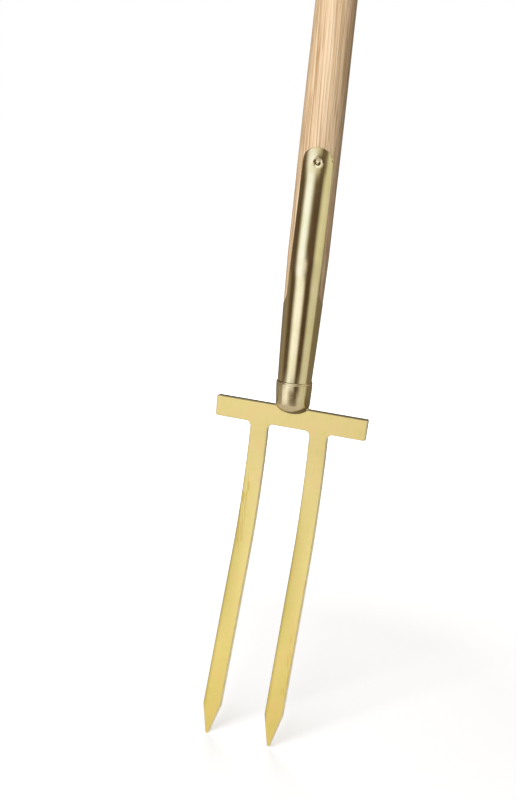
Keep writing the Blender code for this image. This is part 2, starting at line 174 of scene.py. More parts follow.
def blank_material(name: str) -> tuple[Material, Tree]:
    """Makes a material with an empty node tree.

    Args:
        name: The material's name.

    Returns:
        The material and its tree.
    """
    material = bpy.data.materials.new(name)
    material.use_nodes = True
    material.node_tree.nodes.clear()
    return material, material.node_tree


@dataclass(frozen=True)
class Fade:
    """How a mark comes up along one measure: `first` before the start and `last` past the end."""

    measure: Measure
    start: float
    end: float
    first: float = 0.0
    last: float = 1.0


@dataclass(frozen=True)
class Mark:
    """A tone on part of a surface: wear or work on some finishes, painted shade on others. It may
    also dull the metal.

    Each of its places is given by the fades that all have to show there.
    """

    tone: str
    places: tuple[tuple[Fade, ...], ...]
    metal: float = 1.0
    rough: float = 0.0

    def share(self, tree: Tree, measures: dict[Measure, Link]) -> Link:
        """Finds how strong the mark is.

        Args:
            tree: The node tree to add to.
            measures: The surface's measures.

        Returns:
            The strongest place's share, from 0 to 1.
        """
        strongest = 0.0
        for place in self.places:
            share = 1.0
            for fade in place:
                limits = (measures[fade.measure], fade.start, fade.end, fade.first, fade.last)
                shown = add(tree, "MapRange", limits)[0]
                share = add(tree, "Math", (share, shown), operation="MULTIPLY")[0]
            strongest = add(tree, "Math", (strongest, share), operation="MAXIMUM")[0]
        return strongest


@dataclass(frozen=True)
class WorkedBronze:
    """A bronze surface: its metal colour, blotches of tone, and the lines of the tool that made it.

    The lines are long noise: fine across the tool's direction and drawn out along it. The real
    ones are too fine to show, so they are drawn 0.8 mm wide unless a finish says otherwise.
    """

    name: str
    tones: tuple[str, str, str]
    roughness: float
    rough_spread: float
    blotch: float
    line_length: float
    line_depth: float
    line_width: float = 0.8 * MM
    lines_along: Axis = Axis.Z
    marks: tuple[Mark, ...] = ()
    line_share: float = 0.35
    tone_places: Triple = (0.38, 0.5, 0.62)
    usual_noise: Pair = (0.3, 0.7)

    def material(self) -> Material:
        """Builds the node tree of the finish.

        Returns:
            The material.
        """
        material, tree = blank_material(self.name)
        place = add(tree, "TexCoord")["Object"]
        across, along = 1 / self.line_width, 1 / self.line_length
        scale = [along if axis is self.lines_along else across for axis in Axis]
        drawn = add(tree, "Mapping", {"Vector": place, "Scale": scale})[0]
        fine = {"Vector": drawn, "Scale": 1.0, "Detail": 3.0, "Roughness": 0.6}
        broad = {"Vector": place, "Scale": 1 / self.blotch, "Detail": 3.0, "Roughness": 0.55}
        lines, cloud = (add(tree, "TexNoise", inputs)[0] for inputs in (fine, broad))
        blend = {"Factor": self.line_share, 2: cloud, 3: lines}
        noise = add(tree, "Mix", blend, data_type="FLOAT")[0]
        colour = add(tree, "ValToRGB", {"Fac": noise}, zip(self.tone_places, self.tones))[0]
        low, high = self.roughness - self.rough_spread, self.roughness + self.rough_spread
        rough = add(tree, "MapRange", (noise, *self.usual_noise, low, high))[0]
        metal = 1.0
        measures = self.measures(tree, place)
        for mark in self.marks:
            share = mark.share(tree, measures)
            tint = {"Factor": share, 6: colour, 7: linear(mark.tone)}
            colour = add(tree, "Mix", tint, data_type="RGBA", blend_type="MULTIPLY")[2]
            if mark.rough:
                metal = add(tree, "MapRange", (share, 0.0, 1.0, 1.0, mark.metal))[0]
                rough = add(tree, "Math", (share, mark.rough, rough), operation="MULTIPLY_ADD")[0]
        bump = add(tree, "Bump", {"Height": lines, "Distance": self.line_depth, "Strength": 1.0})[0]
        surface = {"Base Color": colour, "Metallic": metal, "Roughness": rough, "Normal": bump}
        shader = add(tree, "BsdfPrincipled", surface)[0]
        add(tree, "OutputMaterial", {"Surface": shader})
        return material

    def measures(self, tree: Tree, place: Link) -> dict[Measure, Link]:
        """Measures the surface for its marks: nothing, on a finish without marks."""
        return {}


@dataclass(frozen=True)
class GroundBronze(WorkedBronze):
    """Ground plate, whose marks follow the tines and the collar's foot."""

    tine_middle: Pair = (28.1 * MM, 29.6 * MM)
    tine_point: float = -280.0 * MM
    stroke_slant: float = math.radians(-6)
    stroke_size: Triple = (1.0 * MM, 6.0 * MM, 12.0 * MM)
    seam_middle: Triple = (0.85 * MM, 0, TREAD + 3.2 * MM)
    seam_size: Triple = (15.3 * MM, 1, 8.95 * MM)

    def measures(self, tree: Tree, place: Link) -> dict[Measure, Link]:
        """Measures from the tines' middle lines and from the collar's foot.

        Args:
            tree: The node tree to add to.
            place: Where on the piece the surface is.

        Returns:
            The measures.
        """
        x, _, height = add(tree, "SeparateXYZ", (place,))
        side = add(tree, "Math", (x,), operation="SIGN")[0]
        splayed = add(tree, "MapRange", (height, 0.0, self.tine_point, *self.tine_middle))[0]
        middle = add(tree, "Math", (side, splayed), operation="MULTIPLY")[0]
        slanted = {"Rotation": (0, self.stroke_slant, 0), "Scale": self.stroke_size}
        ellipse = {"Location": self.seam_middle, "Scale": self.seam_size}
        belt, foot = (
            add(tree, "Mapping", {"Vector": place, **own}, vector_type="TEXTURE")[0]
            for own in (slanted, ellipse)
        )
        strokes = {"Vector": belt, "Scale": 1.0, "Detail": 1.0}
        return {
            Measure.X: x,
            Measure.HEIGHT: height,
            Measure.ASIDE: add(tree, "Math", (x, middle), operation="SUBTRACT")[0],
            Measure.STROKES: add(tree, "TexNoise", strokes)[0],
            Measure.FROM_COLLAR: add(tree, "VectorMath", (foot,), operation="LENGTH")["Value"],
        }


@dataclass(frozen=True)
class SawnEdge(WorkedBronze):
    """A sawn edge, with painted shade on the sides that face left."""

    def measures(self, tree: Tree, place: Link) -> dict[Measure, Link]:
        """Measures how far the surface faces the fork's right."""
        normal = add(tree, "TexCoord")["Normal"]
        return {Measure.FACING: add(tree, "SeparateXYZ", (normal,))[0]}


@dataclass(frozen=True)
class SeatedCasting(WorkedBronze):
    """A casting, with painted shade where it sits on the plate and under its dome.

    The dome's underside rises from its middle by `dome_rise` times the distance's square.
    """

    dome_rise: float = 24.0

    def measures(self, tree: Tree, place: Link) -> dict[Measure, Link]:
        """Measures from the plate's middle and the dome's underside.

        Args:
            tree: The node tree to add to.
            place: Where on the piece the surface is.

        Returns:
            The measures.
        """
        x, y, height = add(tree, "SeparateXYZ", (place,))
        square = add(tree, "Math", (x, x), operation="MULTIPLY")[0]
        rise = add(tree, "Math", (square, self.dome_rise), operation="MULTIPLY")[0]
        return {
            Measure.HEIGHT: height,
            Measure.OFF_PLATE: add(tree, "Math", (y,), operation="ABSOLUTE")[0],
            Measure.UNDER_DOME: add(tree, "Math", (height, rise), operation="SUBTRACT")[0],
        }


@dataclass(frozen=True)
class RivetedSheet(WorkedBronze):
    """Sheet and rivet, with a ring of painted shade round the rivet's head."""

    # The radius of the ring of painted shade on the rivet's head.
    ring: float = 1.8 * MM
    flatten: Triple = (1.0, 1000.0, 1.0)

    def measures(self, tree: Tree, place: Link) -> dict[Measure, Link]:
        """Measures from the rivet, in front and behind alike.

        Args:
            tree: The node tree to add to.
            place: Where on the piece the surface is.

        Returns:
            The measures.
        """
        axis = {"Location": (0, 0, RIVET_Z), "Rotation": (0, 0, RIVET_TURN), "Scale": self.flatten}
        through = add(tree, "Mapping", {"Vector": place, **axis}, vector_type="TEXTURE")[0]
        away = add(tree, "VectorMath", (through,), operation="LENGTH")["Value"]
        offset = add(tree, "Math", (away, self.ring), operation="SUBTRACT")[0]
        return {
            Measure.FROM_SHADE_RING: add(tree, "Math", (offset,), operation="ABSOLUTE")[0],
            Measure.OVER_RIVET: add(tree, "SeparateXYZ", (through,))[2],
        }


@dataclass(frozen=True)
class OiledAsh:
    """Straight-grained ash, turned, sanded and oiled.

    Ash is ring-porous: each year's wood starts with a band of open pores that shows as a darker,
    broken line, about 2.6 mm from the next. The pores are under 0.3 mm wide, too fine for the
    render, so they are drawn 0.9 mm wide and 90 mm long. A size is a width and a length along
    the grain.
    """

    name: str = "oiled ash"
    grain: Axis = Axis.Z
    ring: float = 2.6 * MM
    ring_side: float = math.radians(25)
    lean: float = math.radians(1.6)
    sway: float = 2.5 * MM
    sway_size: Pair = (22.0 * MM, 300.0 * MM)
    ground_size: Pair = (2.6 * MM, 260.0 * MM)
    pore_size: Pair = (0.9 * MM, 90.0 * MM)
    pore_depth: float = 0.05 * MM
    light: str = "#f8e1bf"
    warm: str = "#eac99d"
    late: str = "#cea475"
    pore: str = "#a67a4a"
    year: Tones = (
        (0.0, "#c0c0c0"), (0.22, "#888888"), (0.5, "#000000"), (0.84, "#202020"), (1.0, "#b0b0b0")
    )

    def material(self) -> Material:
        """Builds the node tree of the wood.

        Returns:
            The material.
        """
        material, tree = blank_material(self.name)
        place = add(tree, "TexCoord")["Object"]
        turn = (0, math.pi / 2 if self.grain is Axis.X else self.lean, 0)
        place = add(tree, "Mapping", {"Vector": place, "Rotation": turn})[0]

        def streaks(size: Pair, detail: float) -> Link:
            """Makes noise that is drawn out along the grain.

            Args:
                size: Its width and length.
                detail: How many finer layers it has.

            Returns:
                The noise.
            """
            scale = (1 / size[0], 1 / size[0], 1 / size[1])
            drawn = add(tree, "Mapping", {"Vector": place, "Scale": scale})[0]
            noise = {"Vector": drawn, "Scale": 1.0, "Detail": detail, "Roughness": 0.6}
            return add(tree, "TexNoise", noise)[0]

        across = (math.cos(self.ring_side), math.sin(self.ring_side), 0)
        depth = add(tree, "VectorMath", (place, across), operation="DOT_PRODUCT")["Value"]
        slow = streaks(self.sway_size, 1.0)
        sway = add(tree, "MapRange", (slow, 0.0, 1.0, -self.sway, self.sway))[0]
        swayed = add(tree, "Math", (depth, sway), operation="ADD")[0]
        years = add(tree, "Math", (swayed, self.ring), operation="DIVIDE")[0]
        year = add(tree, "Math", (years,), operation="FRACT")[0]
        ground, pores = streaks(self.ground_size, 2.0), streaks(self.pore_size, 2.0)
        colour = add(tree, "ValToRGB", (ground,), ((0.34, self.warm), (0.62, self.light)))[0]
        band = add(tree, "ValToRGB", (year,), self.year)[0]
        lines = add(tree, "ValToRGB", (pores,), ((0.47, "#000000"), (0.64, "#d8d8d8")))[0]
        for share, tone in ((band, self.late), (lines, self.pore)):
            layer = {"Factor": share, 6: colour, 7: linear(tone)}
            colour = add(tree, "Mix", layer, data_type="RGBA")[2]
        hollow = {"Height": lines, "Distance": self.pore_depth, "Strength": 1.0}
        bump = add(tree, "Bump", hollow, invert=True)[0]
        surface = {"Base Color": colour, "Roughness": 0.34, "IOR": 1.5, "Normal": bump}
        add(tree, "OutputMaterial", {"Surface": add(tree, "BsdfPrincipled", surface)[0]})
        return material


# Bronze plate ground flat on a belt: a satin face with faint lines, pale straw gold in soft light
# with patches of warmer and greener gold. Belt lines are about 0.1 mm and are drawn 0.9 mm wide.
# Its marks: yellower towards the points; a shade deeper half way down the tines, with painted
# shade making it darkest on each tine's left; painted shade along each tine's left edge; strokes
# of the belt's edge on each; and a dark line round the collar's foot: old flux, with painted
# contact shadow.
GROUND_PLATE = GroundBronze(
    name="belt-ground bronze plate",
    tones=("#e8d587", "#eed98f", "#f3d892"),
    roughness=0.42,
    rough_spread=0.05,
    blotch=14 * MM,
    line_length=16 * MM,
    line_depth=0.02 * MM,
    line_width=0.9 * MM,
    marks=(
        Mark("#fffbd8", ((Fade(Measure.HEIGHT, -40 * MM, -270 * MM),),)),
        # A shade deeper half way down the tines; the fade across each tine adds painted shade to
        # its left side.
        Mark(
            "#e9e8d6",
            (
                (
                    Fade(Measure.HEIGHT, -50 * MM, -105 * MM),
                    Fade(Measure.HEIGHT, -205 * MM, -160 * MM),
                    Fade(Measure.ASIDE, -8.4 * MM, 5 * MM, 1.0, 0.1),
                ),
            ),
        ),
        # Painted shade: darker along each tine's left edge.
        Mark(
            "#e4e1d4",
            (
                (
                    Fade(Measure.HEIGHT, -10 * MM, -130 * MM),
                    Fade(Measure.ASIDE, -5.4 * MM, -7.8 * MM),
                ),
            ),
        ),
        Mark(
            "#efe6c2",
            (
                (
                    Fade(Measure.STROKES, 0.5, 0.6),
                    Fade(Measure.X, 0.0, -1 * MM),
                    Fade(Measure.ASIDE, -1 * MM, -2 * MM),
                    Fade(Measure.HEIGHT, -122 * MM, -112 * MM),
                    Fade(Measure.HEIGHT, -46 * MM, -56 * MM),
                ),
                (
                    Fade(Measure.STROKES, 0.5, 0.6),
                    Fade(Measure.X, 0.0, 1 * MM),
                    Fade(Measure.ASIDE, 2 * MM, 3 * MM, 0.0, 0.6),
                    Fade(Measure.HEIGHT, -242 * MM, -232 * MM),
                    Fade(Measure.HEIGHT, -176 * MM, -186 * MM),
                ),
            ),
        ),
        # A dark line round the collar's foot: old flux, with painted contact shadow where the dome
        # meets the plate.
        Mark("#77736c", ((Fade(Measure.FROM_COLLAR, 1.02, 1.09, 1.0, 0.0),),)),
    ),
)

# The plate's cut edges are left as the saw made them: duller than the faces. Painted shade darkens
# those that face left.
SAWN_EDGE = SawnEdge(
    name="sawn bronze edge",
    tones=("#e4dbb0", "#eee5bc", "#f6eecb"),
    roughness=0.36,
    rough_spread=0.06,
    blotch=6 * MM,
    line_length=4 * MM,
    line_depth=0.03 * MM,
    lines_along=Axis.Y,
    # Painted shade on the edges that face left.
    marks=(Mark("#c6c1aa", ((Fade(Measure.FACING, -0.15, -0.6),),)),),
)

# The treads were sawn too. They are darker: painted shade, for the dark that they reflect.
SHADED_TREAD = WorkedBronze(
    name="shaded bronze tread",
    tones=("#8b805a", "#978b63", "#a3976d"),
    roughness=0.45,
    rough_spread=0.06,
    blotch=8 * MM,
    line_length=4 * MM,
    line_depth=0.03 * MM,
    lines_along=Axis.Y,
)

# Cast bronze, turned and brushed round: browner than the plate, with soft reflections. Painted
# shade darkens it where it sits on the plate and under its dome, and its metal is duller there.
BRUSHED_CASTING = SeatedCasting(
    name="brushed cast bronze",
    tones=("#cfc096", "#d8c99f", "#dfd1a9"),
    roughness=0.13,
    rough_spread=0.02,
    blotch=9 * MM,
    line_length=7 * MM,
    line_depth=0.004 * MM,
    lines_along=Axis.X,
    marks=(
        # Painted shade where the collar sits on the plate and under its dome, with the metal
        # dulled.
        Mark(
            "#948d7c",
            (
                (
                    Fade(Measure.OFF_PLATE, 4 * MM, 7.5 * MM, 1.0, 0.0),
                    Fade(Measure.HEIGHT, TREAD + 3.5 * MM, TREAD + 1 * MM),
                ),
                (Fade(Measure.UNDER_DOME, TREAD - 2 * MM, TREAD - 3.3 * MM),),
            ),
            metal=0.3,
            rough=0.4,
        ),
    ),
)

# Bronze sheet, rolled and buffed along its length: bright bands that are a little soft at the
# sides. A ring of painted shade lies on the rivet's head, open at its top.
BUFFED_SHEET = RivetedSheet(
    name="buffed bronze sheet",
    tones=("#d5c99a", "#dbcea3", "#e2d4ae"),
    roughness=0.11,
    rough_spread=0.02,
    blotch=22 * MM,
    line_length=40 * MM,
    line_depth=0.003 * MM,
    marks=(
        # Painted shade: a dark ring on the rivet's head, open at its top.
        Mark(
            "#5a4a30",
            (
                (
                    Fade(Measure.FROM_SHADE_RING, 0.325 * MM, 0.65 * MM, 1.0, 0.0),
                    Fade(Measure.OVER_RIVET, 0.5 * MM, 1 * MM, 1.0, 0.0),
                ),
            ),
        ),
    ),
)

# Braze left as it flowed: pale and a little rough.
FLOWED_BRAZE = WorkedBronze(
    name="flowed braze",
    tones=("#d3c28e", "#dccb98", "#e6d8a8"),
    roughness=0.38,
    rough_spread=0.06,
    blotch=2 * MM,
    line_length=1.2 * MM,
    line_depth=0.04 * MM,
)

# Ash turned on a lathe, sanded and oiled: pale straw with darker year lines, a low even sheen.
SHAFT_ASH = OiledAsh()
GRIP_ASH = OiledAsh("oiled ash, cross grain", Axis.X)

# Beech sawn across and driven in as a wedge: short, dense, darker end grain.
WEDGE_BEECH = OiledAsh(
    "beech end grain",
    ring=1.2 * MM,
    pore_size=(0.9 * MM, 0.9 * MM),
    light="#b98a60",
    warm="#ab7a52",
    late="#8f623f",
    pore="#7d5334",
)


def joined(
    shape: Solid, rows: Sequence[Sequence[Knot]], ring: bool = False, ends: bool = False
) -> None:
    """Puts faces between rows of points.

    Args:
        shape: The mesh being built.
        rows: Rows with the same number of points each. A row that repeats one point is a pole.
        ring: Whether each row closes on itself.
        ends: Whether the first and the last row are filled with a face each.
    """
    for near, far in zip(rows, rows[1:]):
        count = len(near)
        for i in range(count if ring else count - 1):
            j = (i + 1) % count
            corners = list(dict.fromkeys((near[i], near[j], far[j], far[i])))
            if len(corners) > 2:
                shape.faces.new(corners)
    for row in (rows[0], rows[-1]) if ends else ():
        shape.faces.new(row)


def creased(mesh: bpy.types.Mesh, degrees: float) -> None:
    """Shades a mesh smooth, but for edges sharper than this many degrees."""
    mesh.shade_smooth()
    mesh.set_sharp_from_angle(angle=math.radians(degrees))


def finished(
    name: str, shape: Solid, materials: Iterable[Material] = (), smooth: float = CREASE
) -> Piece:
    """Turns a built mesh into an object.

    Args:
        name: The piece's name.
        shape: The mesh, which is used up.
        materials: The materials of its slots.
        smooth: Edges sharper than this many degrees stay sharp.

    Returns:
        The new object.
    """
    bmesh.ops.recalc_face_normals(shape, faces=shape.faces)
    mesh = bpy.data.meshes.new(name)
    shape.to_mesh(mesh)
    shape.free()
    for material in materials:
        mesh.materials.append(material)
    creased(mesh, smooth)
    piece = bpy.data.objects.new(name, mesh)
    bpy.context.scene.collection.objects.link(piece)
    return piece


def spaced(first: float, last: float, count: int) -> list[float]:
    """Values from the first to the last, both included, this many even steps apart."""
    return [first + (last - first) * i / count for i in range(count + 1)]


def quarter(steps: int) -> list[float]:
    """Angles from 0 to 90 degrees, both included, in radians."""
    return spaced(0.0, math.pi / 2, steps)


def eased(share: float) -> float:
    """A smooth step from 0 to 1."""
    held = min(max(share, 0.0), 1.0)
    return held * held * (3 - 2 * held)


def mirrored(upper: Profile) -> Profile:
    """Adds the lower half of a profile whose halves are alike."""
    return upper + [(radius, -height) for radius, height in reversed(upper) if height]


def turned(
    profile: Profile, sides: int, axis: Axis = Axis.Z, centre: Vector | None = None
) -> Solid:
    """Turns a profile about an axis.

    Args:
        profile: Radius and height of each point, from the top down.
        sides: Facets of the full turn.
        axis: The axis of the fork that the piece turns about.
        centre: Where the profile's own origin goes.

    Returns:
        The closed mesh.
    """
    shape = bmesh.new()
    angles = [math.tau * (i + 0.5) / sides for i in range(sides)]
    rows = []
    for radius, height in profile:
        if radius == 0:
            rows.append([shape.verts.new((0, 0, height))] * sides)
        else:
            points = [(radius * math.cos(a), radius * math.sin(a), height) for a in angles]
            rows.append([shape.verts.new(point) for point in points])
    joined(shape, rows, ring=True)
    if axis is not Axis.Z:
        over = Matrix.Rotation(math.pi / 2, 3, "Y" if axis is Axis.X else "X")
        bmesh.ops.rotate(shape, verts=shape.verts, matrix=over)
    bmesh.ops.translate(shape, verts=shape.verts, vec=centre or Vector())
    return shape


def block(low: Sequence[float], high: Sequence[float]) -> Solid:
    """Makes a cutting block between two corners.

    Args:
        low: The lowest corner.
        high: The highest corner.

    Returns:
        The closed mesh.
    """
    shape = bmesh.new()
    bmesh.ops.create_cube(shape, size=1.0)
    size = Vector(high) - Vector(low)
    bmesh.ops.scale(shape, verts=shape.verts, vec=size)
    bmesh.ops.translate(shape, verts=shape.verts, vec=Vector(low) + size / 2)
    return shape


def applied(piece: Piece, smooth: float | None = None) -> None:
    """Replaces a piece's mesh with what its modifiers make of it.

    Args:
        piece: The piece.
        smooth: Edges sharper than this many degrees become sharp, or None to keep the normals.
    """
    view = bpy.context.evaluated_depsgraph_get()
    mesh = bpy.data.meshes.new_from_object(piece.evaluated_get(view))
    piece.modifiers.clear()
    piece.data = mesh
    if smooth is not None:
        creased(mesh, smooth)


def cut(piece: Piece, *solids: Solid, smooth: float = CREASE) -> None:
    """Cuts solids out of a piece.

    Args:
        piece: The piece.
        *solids: The solids, which are used up.
        smooth: Edges sharper than this many degrees become sharp.
    """
    tools = [finished("tool", solid) for solid in solids]
    for tool in tools:
        step = piece.modifiers.new("cut", "BOOLEAN")
        step.operation = "DIFFERENCE"
        step.object = tool
        step.solver = "EXACT"
    applied(piece, smooth)
    for tool in tools:
        bpy.data.objects.remove(tool, do_unlink=True)


def placed(piece: Piece, slot: Slot, node: str) -> Piece:
    """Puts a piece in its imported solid's place and reports it.

    Args:
        piece: The piece.
        slot: The record's slot for its finish.
        node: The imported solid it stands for.

    Returns:
        The piece.
    """
    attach(piece, "root")
    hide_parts(node)
    log.info("%s: %d faces, %s", piece.name, len(piece.data.polygons), slot.value)
    return piece


@dataclass(frozen=True)
class Tine:
    """One tine before it is bent, and the plate's corner over it. No two were cut alike."""

    length: float
    inner_point: float
    outer_point: float
    splay: float
    top_corner: float


@dataclass
class ForkHead:
    """Cross plate and two tines, cut in one from bronze plate, eased and swept forward."""

    left: Tine = Tine(288.5 * MM, 27.5 * MM, 25.8 * MM, math.radians(0.36), 2.6 * MM)
    right: Tine = Tine(285.8 * MM, 26.7 * MM, 29.1 * MM, math.radians(0.23), 1.2 * MM)
    tread_width: float = 143.2 * MM
    foot_width: float = 141.8 * MM
    tine_width: float = 16.8 * MM
    tine_spacing: float = 56.2 * MM
    tip_width: float = 2.2 * MM
    root_radius: float = 4.5 * MM
    root_steps: int = 10
    low_corner: float = 1.4 * MM
    corner_steps: int = 4
    sweep_start: float = 13.4 * MM
    sweep_run: float = 114.0 * MM
    sweep_angle: float = math.radians(14.0)
    sweep_steps: int = 36
    ease: float = 1.0 * MM
    tread_ease: float = 1.15 * MM
    tread_margin: float = 5.0 * MM
    tip_ease: float = 0.5 * MM
    tip_reach: float = 2.0 * MM
    ease_steps: int = 4
    face_limit: float = 0.9

    def fillet(
        self, before: Vector, corner: Vector, after: Vector, radius: float, steps: int
    ) -> list[Vector]:
        """Rounds a corner of the outline.

        Args:
            before: The point before the corner.
            corner: The sharp corner.
            after: The point after it.
            radius: The round's radius.
            steps: Edges of the round.

        Returns:
            The points of the round.
        """
        back = (before - corner).normalized()
        ahead = (after - corner).normalized()
        half = back.angle(ahead) / 2
        centre = corner + (back + ahead).normalized() * (radius / math.sin(half))
        first = corner + back * (radius / math.tan(half))
        last = corner + ahead * (radius / math.tan(half))
        spokes = [(first.lerp(last, share) - centre).normalized() for share in spaced(0, 1, steps)]
        return [centre + spoke * radius for spoke in spokes]

    def half_outline(self, tine: Tine) -> list[Vector]:
        """Draws one half of the flat head, as if it were the right one.

        Args:
            tine: The half's tine.

        Returns:
            Points in X and Z, from the top middle round the tine to the bottom middle.
        """
        lean = Vector((math.sin(tine.splay), -math.cos(tine.splay)))
        middle = Vector((self.tine_spacing / 2, 0.0))
        across = Vector((self.tine_width / 2, 0.0))
        blunt = Vector((self.tip_width / 2, 0.0))
        tip = middle + lean * tine.length
        outer = middle + across + lean * (tine.length - tine.outer_point)
        inner = middle - across + lean * (tine.length - tine.inner_point)
        top = Vector((self.tread_width / 2, TREAD))
        low = Vector((self.foot_width / 2, 0.0))
        crotch = Vector((0.0, 0.0))
        outline = [Vector((0.0, TREAD)), top - Vector((self.tread_margin, 0.0))]
        outline += self.fillet(outline[0], top, low, tine.top_corner, self.corner_steps)
        outline += self.fillet(top, low, middle, self.low_corner, self.corner_steps)
        outline += self.fillet(low, middle + across, outer, self.root_radius, self.root_steps)
        outline += [outer, tip + blunt, tip - blunt, inner]
        outline += self.fillet(inner, middle - across, crotch, self.root_radius, self.root_steps)
        return outline + [crotch]

    def ease_at(self, knot: Vector) -> float:
        """How far the edge is eased: less at the tips than on the rest, and most on the treads.

        Args:
            knot: A point of the outline.

        Returns:
            The width of the easing.
        """
        if knot.y > TREAD - SLACK and abs(knot.x) <= self.tread_width / 2 - self.tread_margin:
            return self.tread_ease
        return self.tip_ease if knot.y < -self.right.length + self.tip_reach else self.ease

    def inward(self, before: Vector, knot: Vector, after: Vector) -> Vector:
        """The step into the outline that moves both edges at a point in by one.

        Args:
            before: The point before it, on an outline that runs clockwise.
            knot: The point.
            after: The point after it.

        Returns:
            The step.
        """
        ways = ((knot - before).normalized(), (after - knot).normalized())
        first, second = (Vector((way.y, -way.x)) for way in ways)
        return (first + second) / (1 + first.dot(second))

    def swept(self, flat: Vector) -> Vector:
        """Moves a point of the flat head onto the tines' sweep.

        Args:
            flat: The point before the tines are bent.

        Returns:
            The point after it.
        """
        below = -flat.z - self.sweep_start
        if below <= 0:
            return flat
        radius = self.sweep_run / self.sweep_angle
        pitch = min(below / radius, self.sweep_angle)
        straight = max(below - self.sweep_run, 0.0)
        forward = radius * (1 - math.cos(pitch)) + straight * math.sin(pitch)
        down = radius * math.sin(pitch) + straight * math.cos(pitch)
        middle = Vector((flat.x, -forward, -self.sweep_start - down))
        return middle + flat.y * Vector((0, math.cos(pitch), -math.sin(pitch)))

    def flat_head(self) -> Solid:
        """Builds the head before its tines are bent, with its edges eased.

        Returns:
            The closed mesh.
        """
        outline = self.half_outline(self.right)
        left = self.half_outline(self.left)[1:-1]
        outline += [Vector((-knot.x, knot.y)) for knot in reversed(left)]
        shape = bmesh.new()
        half = PLATE_THICKNESS / 2
        turns = quarter(self.ease_steps)
        rows = []
        for side, turn in [(-1, turn) for turn in reversed(turns)] + [(1, turn) for turn in turns]:
            row = []
            neighbours = zip(outline[-1:] + outline, outline, outline[1:] + outline[:1])
            for before, knot, after in neighbours:
                ease = self.ease_at(knot)
                x, z = knot + self.inward(before, knot, after) * (ease * (1 - math.cos(turn)))
                row.append(shape.verts.new((x, side * (half - ease * (1 - math.sin(turn))), z)))
            rows.append(row)
        joined(shape, rows, ring=True, ends=True)
        return shape

    def build(self, face: Material, edge: Material, tread: Material) -> Piece:
        """Builds the head.

        Args:
            face: The finish of the ground faces.
            edge: The finish of the cut edges.
            tread: The finish of the treads.

        Returns:
            The piece.
        """
        shape = self.flat_head()
        stations = [self.sweep_start + run for run in spaced(0.0, self.sweep_run, self.sweep_steps)]
        for station in [self.root_radius + self.ease] + stations:
            everything = shape.verts[:] + shape.edges[:] + shape.faces[:]
            level = {"plane_co": (0, 0, -station), "plane_no": (0, 0, 1)}
            bmesh.ops.bisect_plane(shape, geom=everything, **level)
        for knot in shape.verts:
            knot.co = self.swept(knot.co)
        head = finished("bronze_head", shape, (face, edge, tread), smooth=60)
        even = head.modifiers.new("even shading", "WEIGHTED_NORMAL")
        even.weight = 100
        even.keep_sharp = True
        applied(head)
        for polygon in head.data.polygons:
            up, out = polygon.normal.z, abs(polygon.normal.y)
            on_tread = polygon.center.z > TREAD - self.left.top_corner and up > 1 - self.face_limit
            polygon.material_index = 2 if on_tread else 0 if out > self.face_limit else 1
        return placed(head, Slot.PLATE, "fork_head")


@dataclass
class Collar:
    """Cast collar with a domed foot that straddles the plate, and a spigot: a little askew."""

    radius: float = 16.25 * MM
    taper: float = 0.9 * MM
    swell: float = 0.1 * MM
    askew: float = math.radians(1.9)
    height: float = 23.3 * MM
    lip: float = 1.1 * MM
    lip_width: float = 0.6 * MM
    lip_steps: int = 6
    groove: float = 0.9 * MM
    groove_depth: float = 0.22 * MM
    groove_steps: int = 8
    barrel_steps: int = 16
    dome_start: float = 3.2 * MM
    dome_drop: float = 5.9 * MM
    dome_steps: int = 16
    spigot_radius: float = 13.5 * MM
    spigot: float = 6.0 * MM
    sides: int = 160
    slot_room: float = 0.15 * MM

    @property
    def top(self) -> float:
        """The height of the collar's rim."""
        return TREAD + self.height

    @property
    def foot_radius(self) -> float:
        """The radius where the dome starts."""
        return self.radius - self.taper

    @property
    def tread_radius(self) -> float:
        """The dome's radius at the treads."""
        share = self.dome_start / (self.dome_start + self.dome_drop)
        return self.foot_radius * math.sqrt(1 - share**2)

    @property
    def foot_shift(self) -> float:
        """How far the askew collar stands to the right at the treads."""
        return self.height * math.sin(self.askew)

    def profile(self) -> Profile:
        """The turned profile.

        Returns:
            Radius and height, from the spigot's top to the foot.
        """
        start = TREAD + self.dome_start
        rim = self.top - self.lip
        points = [(0, self.top + self.spigot), (self.spigot_radius, self.top + self.spigot)]
        points.append((self.spigot_radius, self.top))
        for turn in quarter(self.lip_steps):
            inset = self.lip_width * (1 - math.sin(turn))
            points.append((self.radius - inset, self.top - self.lip * (1 - math.cos(turn))))
        for share in spaced(0, 1, self.groove_steps)[1:]:
            cut_in = self.groove_depth * math.sin(math.pi * share)
            points.append((self.radius - cut_in, rim - self.groove * share))
        barrel = rim - self.groove - start
        for share in spaced(0, 1, self.barrel_steps)[1:]:
            radius = self.radius - self.taper * share + self.swell * math.sin(math.pi * share)
            points.append((radius, start + barrel * (1 - share)))
        drop = self.dome_start + self.dome_drop
        for turn in quarter(self.dome_steps)[1:-1]:
            points.append((self.foot_radius * math.cos(turn), start - drop * math.sin(turn)))
        points.append((0, start - drop))
        return points

    def build(self, material: Material) -> Piece:
        """Builds the collar.

        Args:
            material: The finish.

        Returns:
            The piece.
        """
        shape = turned(self.profile(), self.sides)
        tilt = {"cent": Vector((0, 0, self.top)), "matrix": Matrix.Rotation(-self.askew, 3, "Y")}
        bmesh.ops.rotate(shape, verts=shape.verts, **tilt)
        collar = finished("cast_collar", shape, (material,))
        half = PLATE_THICKNESS / 2 + self.slot_room
        wide = 2 * self.radius
        cut(collar, block((-wide, -half, -wide), (wide, half, TREAD + self.slot_room)), smooth=30)
        return placed(collar, Slot.CAST, "collar")


